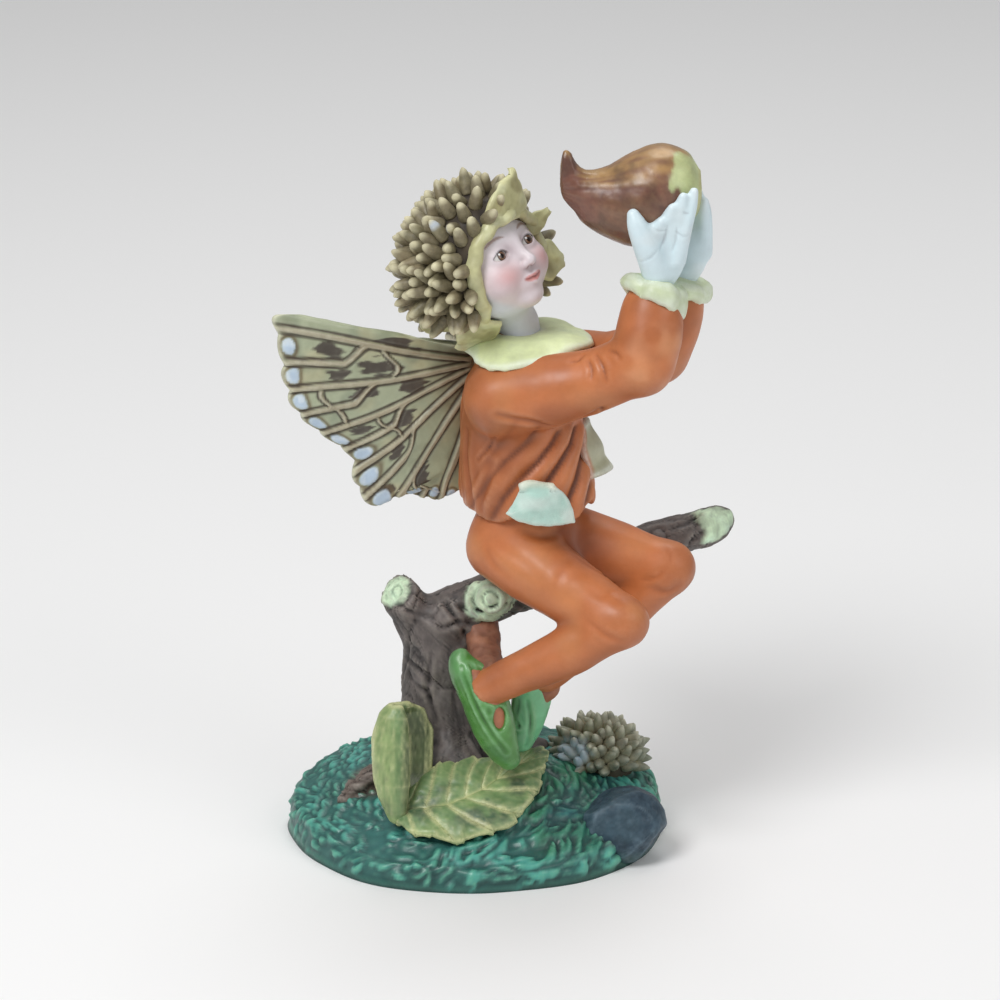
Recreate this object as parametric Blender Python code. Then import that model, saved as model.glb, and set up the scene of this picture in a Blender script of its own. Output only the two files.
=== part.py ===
"""Fairy figurine, cast in one piece: a fairy in a burr hood sits on a forked branch and lifts a nut."""

import math
import random

import bmesh
import bpy
import numpy as np

MM = 0.001
UP = np.array((0.0, 0.0, 1.0))
FLAT_ANGLE = 3.0


def place(x, y, z):
    """A point or an offset, given in millimetres."""
    return np.array((x, y, z), float) * MM


def heading(yaw, pitch=0.0):
    """Unit vector turned by yaw from +X towards +Y and raised by pitch, both in degrees."""
    flat = math.cos(math.radians(pitch))
    return np.array((
        flat * math.cos(math.radians(yaw)),
        flat * math.sin(math.radians(yaw)),
        math.sin(math.radians(pitch)),
    ))


def unit(vector):
    return vector / np.linalg.norm(vector)


# Base
BASE_WIDTH = 51.4 * MM
BASE_DEPTH = 41.6 * MM
RIM_HEIGHT = 5.4 * MM
RIM_TILT = 3.0 * MM
MOUND_HEIGHT = 11.6 * MM
GRASS_RIDGE = 0.45 * MM
ROCK_RADIUS = 6.3 * MM
ROCK_PLACE = (0.78, -0.38)
GROUND_BURR_RADIUS = 5.6 * MM
GROUND_BURR_PLACE = (0.64, 0.22)
GROUND_SPINE_COUNT = 34

# Trunk and branches
TRUNK_PLACE = place(-4.6, 2.0, 0.0)
TRUNK_HEIGHT = 29.5 * MM
TRUNK_FOOT_RADIUS = 7.4 * MM
TRUNK_RADIUS = 5.3 * MM
BARK_RIDGE = 0.35 * MM
STUB_LENGTH = 9.2 * MM
STUB_RADIUS = 2.9 * MM
STUB_YAW = 190.0
STUB_PITCH = 58.0
BRANCH_RADIUS = 3.5 * MM
BRANCH_END_RADIUS = 2.5 * MM
BRANCH_OFFSET = place(0.8, -1.0, 2.6)
BRANCH_LENGTH = 41.0 * MM
BRANCH_YAW = 14.5
BRANCH_PITCH = 14.0
KNOT_RADIUS = 2.1 * MM
STRUT_RADIUS = 1.5 * MM

# Leaf on the ground
LEAF_LENGTH = 21.0 * MM
LEAF_WIDTH = 10.5 * MM
LEAF_THICKNESS = 1.2 * MM
ROLLED_LEAF_LENGTH = 18.4 * MM
ROLLED_LEAF_WIDTH = 8.0 * MM

# Body
BODY_YAW = -30.0
SEAT_DISTANCE = 11.0 * MM
SEAT_HEIGHT = 8.0 * MM
SEAT_OFFSET = 3.8 * MM
PELVIS_RADIUS = 6.3 * MM
HIP_SPACING = 7.2 * MM
TORSO_LENGTH = 27.8 * MM
TUNIC_HEM_RADIUS = 9.5 * MM
TUNIC_CHEST_RADIUS = 8.2 * MM
HEM_CORNER_TURN = -43.0
HEM_CORNER_WIDTH = 8.4 * MM
PLEAT_DEPTH = 0.55 * MM
PLEAT_COUNT = 13
SHOULDER_DROP = 4.7 * MM
SHOULDER_WIDTH = 13.2 * MM
SHOULDER_TWIST = 2.5 * MM
COLLAR_RADIUS = 8.4 * MM
COLLAR_THICKNESS = 1.1 * MM
NECK_RADIUS = 3.2 * MM

# Legs
THIGH_LENGTH = 20.0 * MM
NEAR_SHIN_LENGTH = 20.6 * MM
FAR_SHIN_LENGTH = 22.0 * MM
THIGH_RADIUS = 5.3 * MM
KNEE_RADIUS = 3.6 * MM
ANKLE_RADIUS = 2.5 * MM
FOOT_LENGTH = 13.8 * MM
FOOT_RADIUS = 3.0 * MM
NEAR_THIGH = (-31.0, -19.0)
NEAR_SHIN = (173.0, -30.0)
NEAR_FOOT = (0.0, -62.0)
FAR_THIGH = (-13.0, -9.0)
FAR_SHIN = (182.5, -43.0)
FAR_FOOT = (218.0, -74.0)

# Arms
UPPER_ARM_LENGTH = 18.9 * MM
FOREARM_LENGTH = 9.4 * MM
SLEEVE_RADIUS = 4.3 * MM
WRIST_RADIUS = 2.7 * MM
CUFF_RADIUS = 3.8 * MM
PALM_LENGTH = 7.0 * MM
PALM_WIDTH = 5.4 * MM
FINGER_LENGTH = 6.4 * MM
FINGER_RADIUS = 0.85 * MM
NEAR_UPPER_ARM = (-16.0, 19.5)
NEAR_FOREARM = (51.0, 71.0)
NEAR_HAND = (-18.0, 78.0)
FAR_UPPER_ARM = (-35.0, 17.0)
FAR_FOREARM = (0.0, 70.0)
FAR_HAND = (-20.0, 80.0)

# Nut
NUT_LENGTH = 17.6 * MM
NUT_RADIUS = 6.9 * MM
NUT_SEAT = place(-1.2, 3.5, 4.7)

# Head and hood
HEAD_YAW = -46.0
HEAD_PITCH = 27.0
HEAD_ROLL = 12.0
HEAD_DEPTH = 8.1 * MM
HEAD_HALF_WIDTH = 7.3 * MM
HEAD_HALF_HEIGHT = 8.9 * MM
HEAD_OFFSET = place(-4.2, -1.0, 11.8)
HOOD_RADIUS = 8.5 * MM
HOOD_SETBACK = 3.0 * MM
HOOD_SPINE_COUNT = 100
SPINE_LENGTH = 3.2 * MM
SPINE_RADIUS = 0.95 * MM
RIM_BAND = 1.3 * MM
LOBE_THICKNESS = 1.0 * MM

FACE_OPENING = (29.0, 36.0, 55.0, 66.0, 84.0)
RIM_BARE = 14.0
FAR_BROW_BARE = 32.0
# Lobes of the burr: turn round the face, angle from it, rise, lean outwards, length and width in mm
LOBES = (
    ("brow_lobe", 14.0, 33.0, 0.3, 0.9, 5.0, 7.5),
    ("temple_lobe", 76.0, 50.0, 0.9, 0.2, 2.6, 3.0),
    ("far_lobe", 120.0, 64.0, 0.9, 0.2, 2.6, 6.2),
    ("near_lobe", -146.0, 94.0, 0.4, 0.9, 5.6, 6.4),
    ("nape_lobe", -124.0, 120.0, 0.5, 0.6, 5.6, 5.6),
)

# Wings
WING_SPAN = 26.0 * MM
WING_THICKNESS = 0.9 * MM
VEIN_HEIGHT = 0.35 * MM
NEAR_WING_YAW = 200.0
FAR_WING_YAW = 100.0
WING_INSET = 2.2 * MM

# Where the joints of the figure come to lie
BODY_FORWARD = heading(BODY_YAW)
BODY_LEFT = heading(BODY_YAW + 90.0)
FORK = TRUNK_PLACE + UP * TRUNK_HEIGHT
BRANCH_START = FORK + BRANCH_OFFSET
BRANCH_AXIS = heading(BRANCH_YAW, BRANCH_PITCH)
SEAT = BRANCH_START + BRANCH_AXIS * SEAT_DISTANCE
PELVIS = SEAT + UP * SEAT_HEIGHT - BODY_LEFT * SEAT_OFFSET
NECK = PELVIS + UP * TORSO_LENGTH + place(0.6, 0.0, 0.0)
HEAD = NECK + HEAD_OFFSET


def head_axes():
    """Forward, left and up directions of the head."""
    forward = heading(HEAD_YAW, HEAD_PITCH)
    level_left = heading(HEAD_YAW + 90.0)
    level_up = np.cross(forward, level_left)
    roll = math.radians(HEAD_ROLL)
    left = level_left * math.cos(roll) + level_up * math.sin(roll)
    return forward, left, np.cross(forward, left)


FACE, HEAD_LEFT, CROWN = head_axes()


def material(name, colour, roughness=0.55):
    """A Principled material of one painted colour."""
    made = bpy.data.materials.new(name)
    made.use_nodes = True
    shader = made.node_tree.nodes["Principled BSDF"]
    shader.inputs["Base Color"].default_value = (*colour, 1.0)
    shader.inputs["Roughness"].default_value = roughness
    shader.inputs["Metallic"].default_value = 0.0
    made.diffuse_color = (*colour, 1.0)
    return made


def smooth(rows, steps):
    """Rows read off a smooth curve that passes through the given rows."""
    rows = np.array(rows, float)
    padded = np.vstack((2 * rows[0] - rows[1], rows, 2 * rows[-1] - rows[-2]))
    curve = []
    for before, start, end, after in zip(padded, padded[1:], padded[2:], padded[3:]):
        for step in range(steps):
            t = step / steps
            curve.append(0.5 * (
                2 * start
                + (end - before) * t
                + (2 * before - 5 * start + 4 * end - after) * t ** 2
                + (3 * start - 3 * end + after - before) * t ** 3
            ))
    curve.append(rows[-1])
    return np.array(curve)


def finish_form(name, shape, paint):
    """Turn a closed bmesh into a triangulated form with its faces pointing out."""
    bmesh.ops.recalc_face_normals(shape, faces=shape.faces)
    bmesh.ops.triangulate(shape, faces=shape.faces)
    mesh = bpy.data.meshes.new(name)
    shape.to_mesh(mesh)
    shape.free()
    mesh.materials.append(paint)
    mesh.shade_smooth()
    mesh.set_sharp_from_angle(angle=math.radians(50))
    form = bpy.data.objects.new(name, mesh)
    form.hide_render = True
    form.display_type = "WIRE"
    FORMS.objects.link(form)
    return form


def add_rings(shape, rings, start_pole, end_pole):
    """Bridge closed rings of points one after another and close both ends with fans."""
    loops = [[shape.verts.new(point) for point in ring] for ring in rings]
    sides = len(rings[0])
    for lower, upper in zip(loops, loops[1:]):
        for k in range(sides):
            n = (k + 1) % sides
            shape.faces.new((lower[k], lower[n], upper[n], upper[k]))
    for loop, pole in ((loops[0], start_pole), (loops[-1], end_pole)):
        tip = shape.verts.new(pole)
        for k in range(sides):
            shape.faces.new((loop[k], loop[(k + 1) % sides], tip))


def tube_rings(stations, sides, steps, across, relief=None):
    """Rings of a tube through rows of x, y, z, half width and half depth, with its two poles."""
    rows = smooth(stations, steps)
    centres = rows[:, :3]
    tangents = np.gradient(centres, axis=0)
    rings = []
    wide = np.array(across, float)
    for i, (row, tangent) in enumerate(zip(rows, tangents)):
        tangent = unit(tangent)
        wide = unit(wide - tangent * np.dot(wide, tangent))
        deep = np.cross(tangent, wide)
        ring = []
        for k in range(sides):
            angle = 2 * math.pi * k / sides
            lift = relief(i / (len(rows) - 1), angle) if relief else 0.0
            ring.append(
                row[:3]
                + wide * (row[3] + lift) * math.cos(angle)
                + deep * (row[4] + lift) * math.sin(angle)
            )
        rings.append(ring)
    start_bulge = 0.45 * min(rows[0][3], rows[0][4])
    end_bulge = 0.45 * min(rows[-1][3], rows[-1][4])
    start_pole = centres[0] - unit(tangents[0]) * start_bulge
    end_pole = centres[-1] + unit(tangents[-1]) * end_bulge
    return rings, start_pole, end_pole


def tube(name, stations, sides, paint, steps=2, across=(0.0, -1.0, 0.0), relief=None):
    """A closed tube of changing section, rounded at both ends."""
    shape = bmesh.new()
    add_rings(shape, *tube_rings(stations, sides, steps, across, relief))
    return finish_form(name, shape, paint)


def station(point, width, depth=None):
    """One row of a tube: its centre, half width and half depth."""
    return (*point, width, width if depth is None else depth)


def ball(name, centre, axes, radii, segments, rings, paint, relief=None):
    """An ellipsoid on three axes; relief gives a lift for each unit direction on those axes."""
    shape = bmesh.new()
    bmesh.ops.create_uvsphere(shape, u_segments=segments, v_segments=rings, radius=1.0)
    for vert in shape.verts:
        way = np.array(vert.co)
        lift = relief(way) if relief else 0.0
        vert.co = centre + sum(axes[k] * way[k] * (radii[k] + lift) for k in range(3))
    return finish_form(name, shape, paint)


def sheet(name, grid, thickness, paint, closed=False, edge=0.5):
    """A thick curved sheet on a grid of mid-surface points, thinner at its edges."""
    grid = np.array(grid)
    rows, columns = grid.shape[:2]
    if closed:
        padded = np.concatenate((grid[-1:], grid, grid[:1]))
        along = np.gradient(padded, axis=0)[1:-1]
    else:
        along = np.gradient(grid, axis=0)
    normals = np.cross(along, np.gradient(grid, axis=1))
    normals /= np.linalg.norm(normals, axis=2)[:, :, None]
    half = np.full((rows, columns), 0.5 * thickness)
    half[:, 0] *= edge
    half[:, -1] *= edge
    if not closed:
        half[0] *= edge
        half[-1] *= edge
    shape = bmesh.new()
    front = [[shape.verts.new(p) for p in row] for row in grid + normals * half[:, :, None]]
    back = [[shape.verts.new(p) for p in row] for row in grid - normals * half[:, :, None]]
    for i in range(rows if closed else rows - 1):
        n = (i + 1) % rows
        for k in range(columns - 1):
            shape.faces.new((front[i][k], front[n][k], front[n][k + 1], front[i][k + 1]))
            shape.faces.new((back[i][k + 1], back[n][k + 1], back[n][k], back[i][k]))
        shape.faces.new((front[i][0], back[i][0], back[n][0], front[n][0]))
        shape.faces.new((front[n][-1], back[n][-1], back[i][-1], front[i][-1]))
    if not closed:
        for k in range(columns - 1):
            shape.faces.new((front[0][k], front[0][k + 1], back[0][k + 1], back[0][k]))
            shape.faces.new((back[-1][k], back[-1][k + 1], front[-1][k + 1], front[-1][k]))
    return finish_form(name, shape, paint)


def add_spine(shape, root, way, length, radius, sides=4):
    """One blunt spine that swells a little and then draws in to its tip."""
    wide = unit(np.cross(way, unit(UP + 0.31 * way + np.array((0.2, 0.1, 0.0)))))
    deep = np.cross(way, wide)
    rings = []
    for share, width in ((-0.40, 0.9), (0.62, 0.85)):
        rings.append([
            root + way * length * share
            + (wide * math.cos(2 * math.pi * k / sides) + deep * math.sin(2 * math.pi * k / sides))
            * radius * width
            for k in range(sides)
        ])
    add_rings(shape, rings, rings_centre(rings[0]), root + way * length)


def rings_centre(ring):
    return np.mean(ring, axis=0)


def spread_directions(count):
    """Evenly spread unit directions over a sphere."""
    golden = math.pi * (3 - math.sqrt(5))
    for i in range(count):
        level = 1 - 2 * (i + 0.5) / count
        flat = math.sqrt(1 - level * level)
        yield np.array((flat * math.cos(golden * i), flat * math.sin(golden * i), level))


def rim_height(angle):
    """Height of the base's side wall, low in front and high behind."""
    return RIM_HEIGHT + RIM_TILT * math.sin(angle)


def base_outline(angle):
    """Point on the base's edge, an ellipse with a slightly uneven outline."""
    wobble = 1 + 0.018 * math.sin(3 * angle + 0.6) + 0.014 * math.sin(5 * angle - 1.0)
    return np.array((
        0.5 * BASE_WIDTH * math.cos(angle) * wobble,
        0.5 * BASE_DEPTH * math.sin(angle) * wobble,
    ))


def ground(x, y):
    """Height of the mound above the bottom face at a place on it."""
    angle = math.atan2(y / BASE_DEPTH, x / BASE_WIDTH)
    reach = base_outline(angle)
    share = min(1.0, math.hypot(x, y) / math.hypot(*reach))
    rim = rim_height(angle)
    return rim + (MOUND_HEIGHT - rim) * (1 - share ** 2) ** 1.2


def make_base(paint):
    """Mound with a flat bottom, a rounded side wall and low swirling ridges of grass."""
    segments = 40
    shares = (1.0, 0.95, 0.83, 0.68, 0.5, 0.3)
    rings = []
    for level in (0.0, 0.55):
        ring = []
        for k in range(segments):
            angle = 2 * math.pi * k / segments
            x, y = base_outline(angle)
            ring.append((x, y, level * rim_height(angle)))
        rings.append(ring)
    for row, share in enumerate(shares[1:]):
        ring = []
        for k in range(segments):
            angle = 2 * math.pi * k / segments
            x, y = base_outline(angle) * share
            ridge = GRASS_RIDGE * math.sin(11 * angle + 2.4 * row) * min(1.0, 1.4 - share)
            ring.append((x, y, ground(x, y) + ridge))
        rings.append(ring)
    shape = bmesh.new()
    add_rings(shape, rings, (0.0, 0.0, 0.0), (0.0, 0.0, MOUND_HEIGHT))
    return finish_form("base_mound", shape, paint)


def make_rock(paint):
    """Boulder half sunk in the right front of the base."""
    x, y = 0.5 * BASE_WIDTH * ROCK_PLACE[0], 0.5 * BASE_DEPTH * ROCK_PLACE[1]
    centre = np.array((x, y, ROCK_RADIUS * 0.80))

    def facets(way):
        return ROCK_RADIUS * 0.05 * math.sin(4.1 * way[0] + 5.3 * way[1] + 3.7 * way[2])

    ball(
        "rock", centre, (heading(20), heading(110), UP),
        (ROCK_RADIUS * 0.92, ROCK_RADIUS * 0.80, ROCK_RADIUS * 0.72), 12, 8, paint, facets,
    )


def make_ground_burr(shell_paint, spine_paint):
    """Open burr lying on the mound behind the rock."""
    x, y = 0.5 * BASE_WIDTH * GROUND_BURR_PLACE[0], 0.5 * BASE_DEPTH * GROUND_BURR_PLACE[1]
    centre = np.array((x, y, ground(x, y)))
    radii = np.array((1.0, 0.85, 0.85)) * GROUND_BURR_RADIUS
    axes = (heading(-15), heading(75), UP)
    ball("ground_burr", centre, axes, radii, 10, 7, shell_paint)
    shape = bmesh.new()
    for way in spread_directions(2 * GROUND_SPINE_COUNT):
        if way[2] < 0.02:
            continue
        root = centre + sum(axes[k] * way[k] * radii[k] for k in range(3))
        out = unit(sum(axes[k] * way[k] for k in range(3)) + 0.25 * UP)
        add_spine(shape, root, out, SPINE_LENGTH * 0.72, SPINE_RADIUS * 0.95, 4)
    finish_form("ground_burr_spines", shape, spine_paint)


def bark(share, angle):
    """Lengthwise ridges round a trunk or a branch."""
    return BARK_RIDGE * math.sin(3 * angle + 2.5 * share) * math.cos(2 * angle - 1.5 * share)


def make_tree(paint, cut_paint):
    """Forked trunk, its cut stub, the long seat branch and the knot on it."""
    foot = TRUNK_PLACE + UP * MOUND_HEIGHT * 0.45
    tube("trunk", (
        station(foot, TRUNK_FOOT_RADIUS * 1.12),
        station(TRUNK_PLACE + UP * TRUNK_HEIGHT * 0.45, TRUNK_RADIUS * 1.12),
        station(TRUNK_PLACE + UP * TRUNK_HEIGHT * 0.75 - place(0.9, 0, 0), TRUNK_RADIUS),
        station(FORK, TRUNK_RADIUS * 0.98),
    ), 14, paint, steps=2, relief=bark)
    stub_start = FORK - UP * STUB_RADIUS - place(1.2, 0.2, 0)
    stub_axis = heading(STUB_YAW, STUB_PITCH)
    stub_end = stub_start + stub_axis * STUB_LENGTH
    tube("stub", (
        station(stub_start, STUB_RADIUS * 1.15),
        station(stub_start + stub_axis * STUB_LENGTH * 0.5, STUB_RADIUS),
        station(stub_end, STUB_RADIUS),
    ), 12, paint, relief=bark)
    ball(
        "stub_cut", stub_end + stub_axis * 0.2 * MM, (heading(100), heading(10, -35), stub_axis),
        (STUB_RADIUS * 0.86, STUB_RADIUS * 0.86, STUB_RADIUS * 0.62), 12, 6, cut_paint,
    )
    branch_end = BRANCH_START + BRANCH_AXIS * BRANCH_LENGTH
    tube("branch", (
        station(BRANCH_START - place(1.5, 0.0, 5.0), BRANCH_RADIUS * 1.3),
        station(BRANCH_START + BRANCH_AXIS * 5.5 * MM, BRANCH_RADIUS * 1.02),
        station(SEAT, BRANCH_RADIUS),
        station(BRANCH_START + BRANCH_AXIS * BRANCH_LENGTH * 0.6, BRANCH_RADIUS * 0.86),
        station(branch_end - BRANCH_AXIS * 4.0 * MM, BRANCH_END_RADIUS * 1.1),
        station(branch_end, BRANCH_END_RADIUS * 0.55),
    ), 12, paint, relief=bark)
    knot = BRANCH_START + BRANCH_AXIS * 7.2 * MM + heading(-98, 12) * BRANCH_RADIUS * 0.75
    knot_axis = heading(-98, 12)
    tube("knot", (
        station(knot - knot_axis * KNOT_RADIUS, KNOT_RADIUS * 1.25),
        station(knot + knot_axis * KNOT_RADIUS * 0.35, KNOT_RADIUS * 1.1),
        station(knot + knot_axis * KNOT_RADIUS * 0.7, KNOT_RADIUS * 0.72),
    ), 12, cut_paint, across=UP)


def leaf_grid(root, along, across, out, length, width, curl, rows, columns):
    """Mid-surface of a leaf: pointed at its tip, cupped across by curl."""
    grid = []
    for i in range(rows):
        t = i / (rows - 1)
        half = 0.5 * width * (0.16 + 0.95 * math.sin(math.pi * min(1.0, 0.1 + t * 0.9)) ** 0.8)
        line = []
        for k in range(columns):
            s = 2 * k / (columns - 1) - 1
            bend = curl * s
            sweep = math.sin(bend) / curl if curl else s
            rise = (1 - math.cos(bend)) / curl if curl else 0.0
            ripple = 0.05 * width * s * s * math.sin(9 * t + 2 * s)
            line.append(
                root + along * length * t + across * half * sweep + out * (half * rise + ripple)
            )
        grid.append(line)
    return grid


# Leaf on the ground as shares of its length, from its root along the rib and both edges
LEAF_RIB = (
    (0.00, 0.000, 0.000), (0.28, -0.029, 0.048), (0.49, 0.057, 0.100), (0.67, 0.190, 0.162), (0.93, 0.438, 0.224),
)
LEAF_LOW_EDGE = (
    (-0.02, -0.076, -0.033), (0.12, -0.210, -0.081), (0.45, -0.243, -0.090), (0.72, -0.143, -0.024), (0.94, 0.467, 0.219),
)
LEAF_HIGH_EDGE = (
    (0.03, 0.048, 0.052), (0.16, 0.200, 0.186), (0.37, 0.262, 0.238), (0.62, 0.310, 0.238), (0.93, 0.486, 0.233),
)
# Rolled half: its middle line as shares of its length, and its section as shares of its width
ROLLED_LINE = (
    (-0.01, -0.06, -0.06), (-0.04, 0.01, 0.17), (-0.05, 0.10, 0.46), (-0.04, 0.17, 0.73), (-0.02, 0.21, 0.94),
)
ROLLED_GIRTH = (0.40, 0.92, 1.10, 1.06, 0.60)
ROLLED_SECTION = ((0.40, -0.26), (0.05, -0.42), (-0.39, -0.10), (-0.20, 0.34), (0.50, 0.52), (0.88, 0.70))


def make_leaf(paint):
    """Leaf that lies against the trunk's foot, and its upright rolled half."""
    x, y = -0.412 * BASE_WIDTH * 0.5, -0.558 * BASE_DEPTH * 0.5
    root = np.array((x, y, ground(x, y) - 0.4 * MM))
    grid = []
    for rib, low, high in zip(smooth(LEAF_RIB, 2), smooth(LEAF_LOW_EDGE, 2), smooth(LEAF_HIGH_EDGE, 2)):
        crown = UP * 0.02
        line = (low, 0.5 * (low + rib) + crown, rib, 0.5 * (rib + high) + crown, high)
        grid.append([root + LEAF_LENGTH * spot for spot in line])
    sheet("leaf", grid, LEAF_THICKNESS, paint)
    grid = []
    for centre, girth in zip(ROLLED_LINE, ROLLED_GIRTH):
        middle = root + ROLLED_LEAF_LENGTH * np.array(centre)
        grid.append([middle + ROLLED_LEAF_WIDTH * 0.62 * girth * np.array((x, y, 0.0)) for x, y in ROLLED_SECTION])
    sheet("rolled_leaf", grid, LEAF_THICKNESS * 1.15, paint)


def hip(side):
    """Centre of a hip joint: -1 for the near side, +1 for the far one."""
    return PELVIS + BODY_LEFT * side * 0.5 * HIP_SPACING - UP * 0.4 * MM


def make_leg(name, side, thigh_way, shin_way, shin_length, foot_way, paint, shoe_paint, sock_paint):
    """Bent leg with its sock and pointed shoe."""
    top = hip(side)
    thigh, shin, foot = heading(*thigh_way), heading(*shin_way), heading(*foot_way)
    knee = top + thigh * THIGH_LENGTH
    ankle = knee + shin * shin_length
    tube(name + "_thigh", (
        station(top - thigh * 1.5 * MM, THIGH_RADIUS * 0.95),
        station(top + thigh * THIGH_LENGTH * 0.3, THIGH_RADIUS),
        station(top + thigh * THIGH_LENGTH * 0.72, THIGH_RADIUS * 0.82),
        station(knee - thigh * 0.6 * MM, KNEE_RADIUS * 1.02),
        station(knee + thigh * KNEE_RADIUS * 0.55, KNEE_RADIUS * 0.62),
    ), 10, paint)
    tube(name + "_shin", (
        station(knee - shin * KNEE_RADIUS * 0.7, KNEE_RADIUS * 0.75),
        station(knee + shin * shin_length * 0.1, KNEE_RADIUS),
        station(knee + shin * shin_length * 0.42, KNEE_RADIUS * 0.98),
        station(knee + shin * shin_length * 0.8, ANKLE_RADIUS * 1.12),
        station(ankle, ANKLE_RADIUS),
    ), 10, paint)
    heel = ankle - foot * FOOT_RADIUS * 1.0 - BODY_FORWARD * 2.4 * MM
    sole = unit(heading(BODY_YAW + 180.0) - foot * np.dot(heading(BODY_YAW + 180.0), foot))
    tube(name + "_shoe", (
        station(heel, FOOT_RADIUS * 0.72),
        station(heel + foot * FOOT_LENGTH * 0.16, FOOT_RADIUS * 1.02),
        station(heel + foot * FOOT_LENGTH * 0.42, FOOT_RADIUS),
        station(heel + foot * FOOT_LENGTH * 0.75 - sole * 0.3 * MM, FOOT_RADIUS * 0.82),
        station(heel + foot * FOOT_LENGTH - sole * 0.6 * MM, FOOT_RADIUS * 0.42),
    ), 10, shoe_paint, steps=1, across=sole)
    instep = heel + foot * FOOT_LENGTH * 0.5 - sole * FOOT_RADIUS * 0.62
    ball(
        name + "_sock", instep, (foot, sole, np.cross(foot, sole)),
        (FOOT_RADIUS * 1.15, FOOT_RADIUS * 0.62, FOOT_RADIUS * 0.66), 8, 6, sock_paint,
    )
    return ankle


def make_strut(start, end, paint):
    """Web of resin left between the fork and the near ankle."""
    middle = 0.5 * (start + end) - UP * 0.8 * MM
    tube("strut", (
        station(start, STRUT_RADIUS * 1.2),
        station(middle, STRUT_RADIUS * 0.85),
        station(end, STRUT_RADIUS * 1.2),
    ), 8, paint)


TUNIC_ROWS = (
    (0.00, 0.985, 0.97, 1.0),
    (0.10, 1.000, 1.00, 1.0),
    (0.26, 0.960, 0.97, 0.9),
    (0.44, 0.925, 0.92, 0.7),
    (0.62, 0.880, 0.90, 0.4),
    (0.78, 0.790, 0.86, 0.0),
    (0.92, 0.570, 0.70, 0.0),
    (1.00, 0.370, 0.40, 0.0),
)


def tunic_frame(share):
    """Centre, half depth, half width and pleat share of the tunic, from its hem up to the neck."""
    rows = np.array(TUNIC_ROWS)
    depth, width, pleat = (np.interp(share, rows[:, 0], rows[:, k]) for k in (1, 2, 3))
    hem = PELVIS + UP * 5.6 * MM + place(2.1, 0.0, 0.0)
    centre = hem + (NECK - hem) * share
    swell = TUNIC_HEM_RADIUS + (TUNIC_CHEST_RADIUS / 0.88 - TUNIC_HEM_RADIUS) * min(1.0, share / 0.62)
    return centre, depth * swell, width * swell, pleat


def tunic_point(share, angle, lift=0.0):
    """Point on the tunic; the angle is measured from straight ahead towards the figure's left."""
    centre, depth, width, pleat = tunic_frame(share)
    folds = PLEAT_DEPTH * pleat * math.cos(PLEAT_COUNT * (angle + 0.55 * share))
    front = 0.5 + 0.5 * math.cos(angle)
    reach = folds * front + lift
    return (
        centre
        + BODY_FORWARD * (depth + reach) * math.cos(angle)
        + BODY_LEFT * (width + reach) * math.sin(angle)
    )


def make_tunic(paint, lining_paint):
    """Pleated tunic with a turned-up hem corner and a loose far front flap."""
    sides = 3 * PLEAT_COUNT
    angles = [2 * math.pi * k / sides for k in range(sides)]
    under = [tunic_point(0.0, a, -2.6 * MM) + UP * 0.5 * MM for a in angles]
    rings = [under] + [[tunic_point(row[0], a) for a in angles] for row in TUNIC_ROWS]
    shape = bmesh.new()
    add_rings(shape, rings, rings_centre(under) + UP * MM, NECK + UP * 0.6 * MM)
    finish_form("tunic", shape, paint)
    turned = math.radians(HEM_CORNER_TURN)
    out = BODY_FORWARD * math.cos(turned) + BODY_LEFT * math.sin(turned)
    ball(
        "hem_corner", tunic_point(0.07, turned, -0.4 * MM), (np.cross(UP, out), UP + 0.15 * out, out),
        (HEM_CORNER_WIDTH * 0.5, HEM_CORNER_WIDTH * 0.36, HEM_CORNER_WIDTH * 0.2), 12, 8, lining_paint,
    )
    flap = []
    for i in range(4):
        share = 0.20 + 0.30 * i / 3
        flap.append([
            tunic_point(share, math.radians(12 + 26 * s), (-0.6 + 2.9 * s * (1 - 0.8 * i / 3)) * MM)
            for s in (0.0, 0.4, 0.75, 1.0)
        ])
    sheet("far_flap", flap, 1.2 * MM, lining_paint)


def make_collar(paint):
    """Wide wavy collar that lies over the shoulders."""
    grid = []
    segments = 24
    for k in range(segments):
        angle = 2 * math.pi * k / segments
        line = []
        for share in (0.0, 0.5, 1.0):
            reach = NECK_RADIUS * 0.85 + (COLLAR_RADIUS - NECK_RADIUS * 0.85) * share
            reach += 0.06 * COLLAR_RADIUS * share * math.sin(5 * angle + 0.8)
            drop = 2.3 * MM * share ** 1.6 + 0.75 * MM * share * math.sin(4 * angle - 0.6)
            line.append(
                NECK + UP * (1.6 * MM - drop) + BODY_FORWARD * MM * share
                + BODY_FORWARD * reach * math.cos(angle)
                + BODY_LEFT * reach * math.sin(angle)
            )
        grid.append(line)
    sheet("collar", grid, COLLAR_THICKNESS, paint, closed=True, edge=0.6)


def shoulder(side):
    """Centre of a shoulder joint."""
    ahead = 0.5 * SHOULDER_TWIST * (1 - side)
    across = 0.5 * SHOULDER_WIDTH * side
    return NECK - UP * SHOULDER_DROP + BODY_LEFT * across + BODY_FORWARD * ahead


def make_cuff(name, wrist, along, paint):
    """Ruffle round a wrist, wider than the sleeve that it ends."""
    wide = unit(np.cross(along, heading(0.0)))
    deep = np.cross(along, wide)
    grid = []
    segments = 12
    for k in range(segments):
        angle = 2 * math.pi * k / segments
        way = wide * math.cos(angle) + deep * math.sin(angle)
        frill = 0.10 * CUFF_RADIUS * math.sin(4 * angle + 0.5)
        grid.append([
            wrist + way * (CUFF_RADIUS * reach + frill * grow) + along * (lift * MM + frill * grow)
            for reach, lift, grow in ((0.32, 0.4, 0.0), (0.86, 0.1, 0.6), (0.98, -1.5, 1.0))
        ])
    sheet(name, grid, 1.3 * MM, paint, closed=True, edge=0.7)


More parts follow.
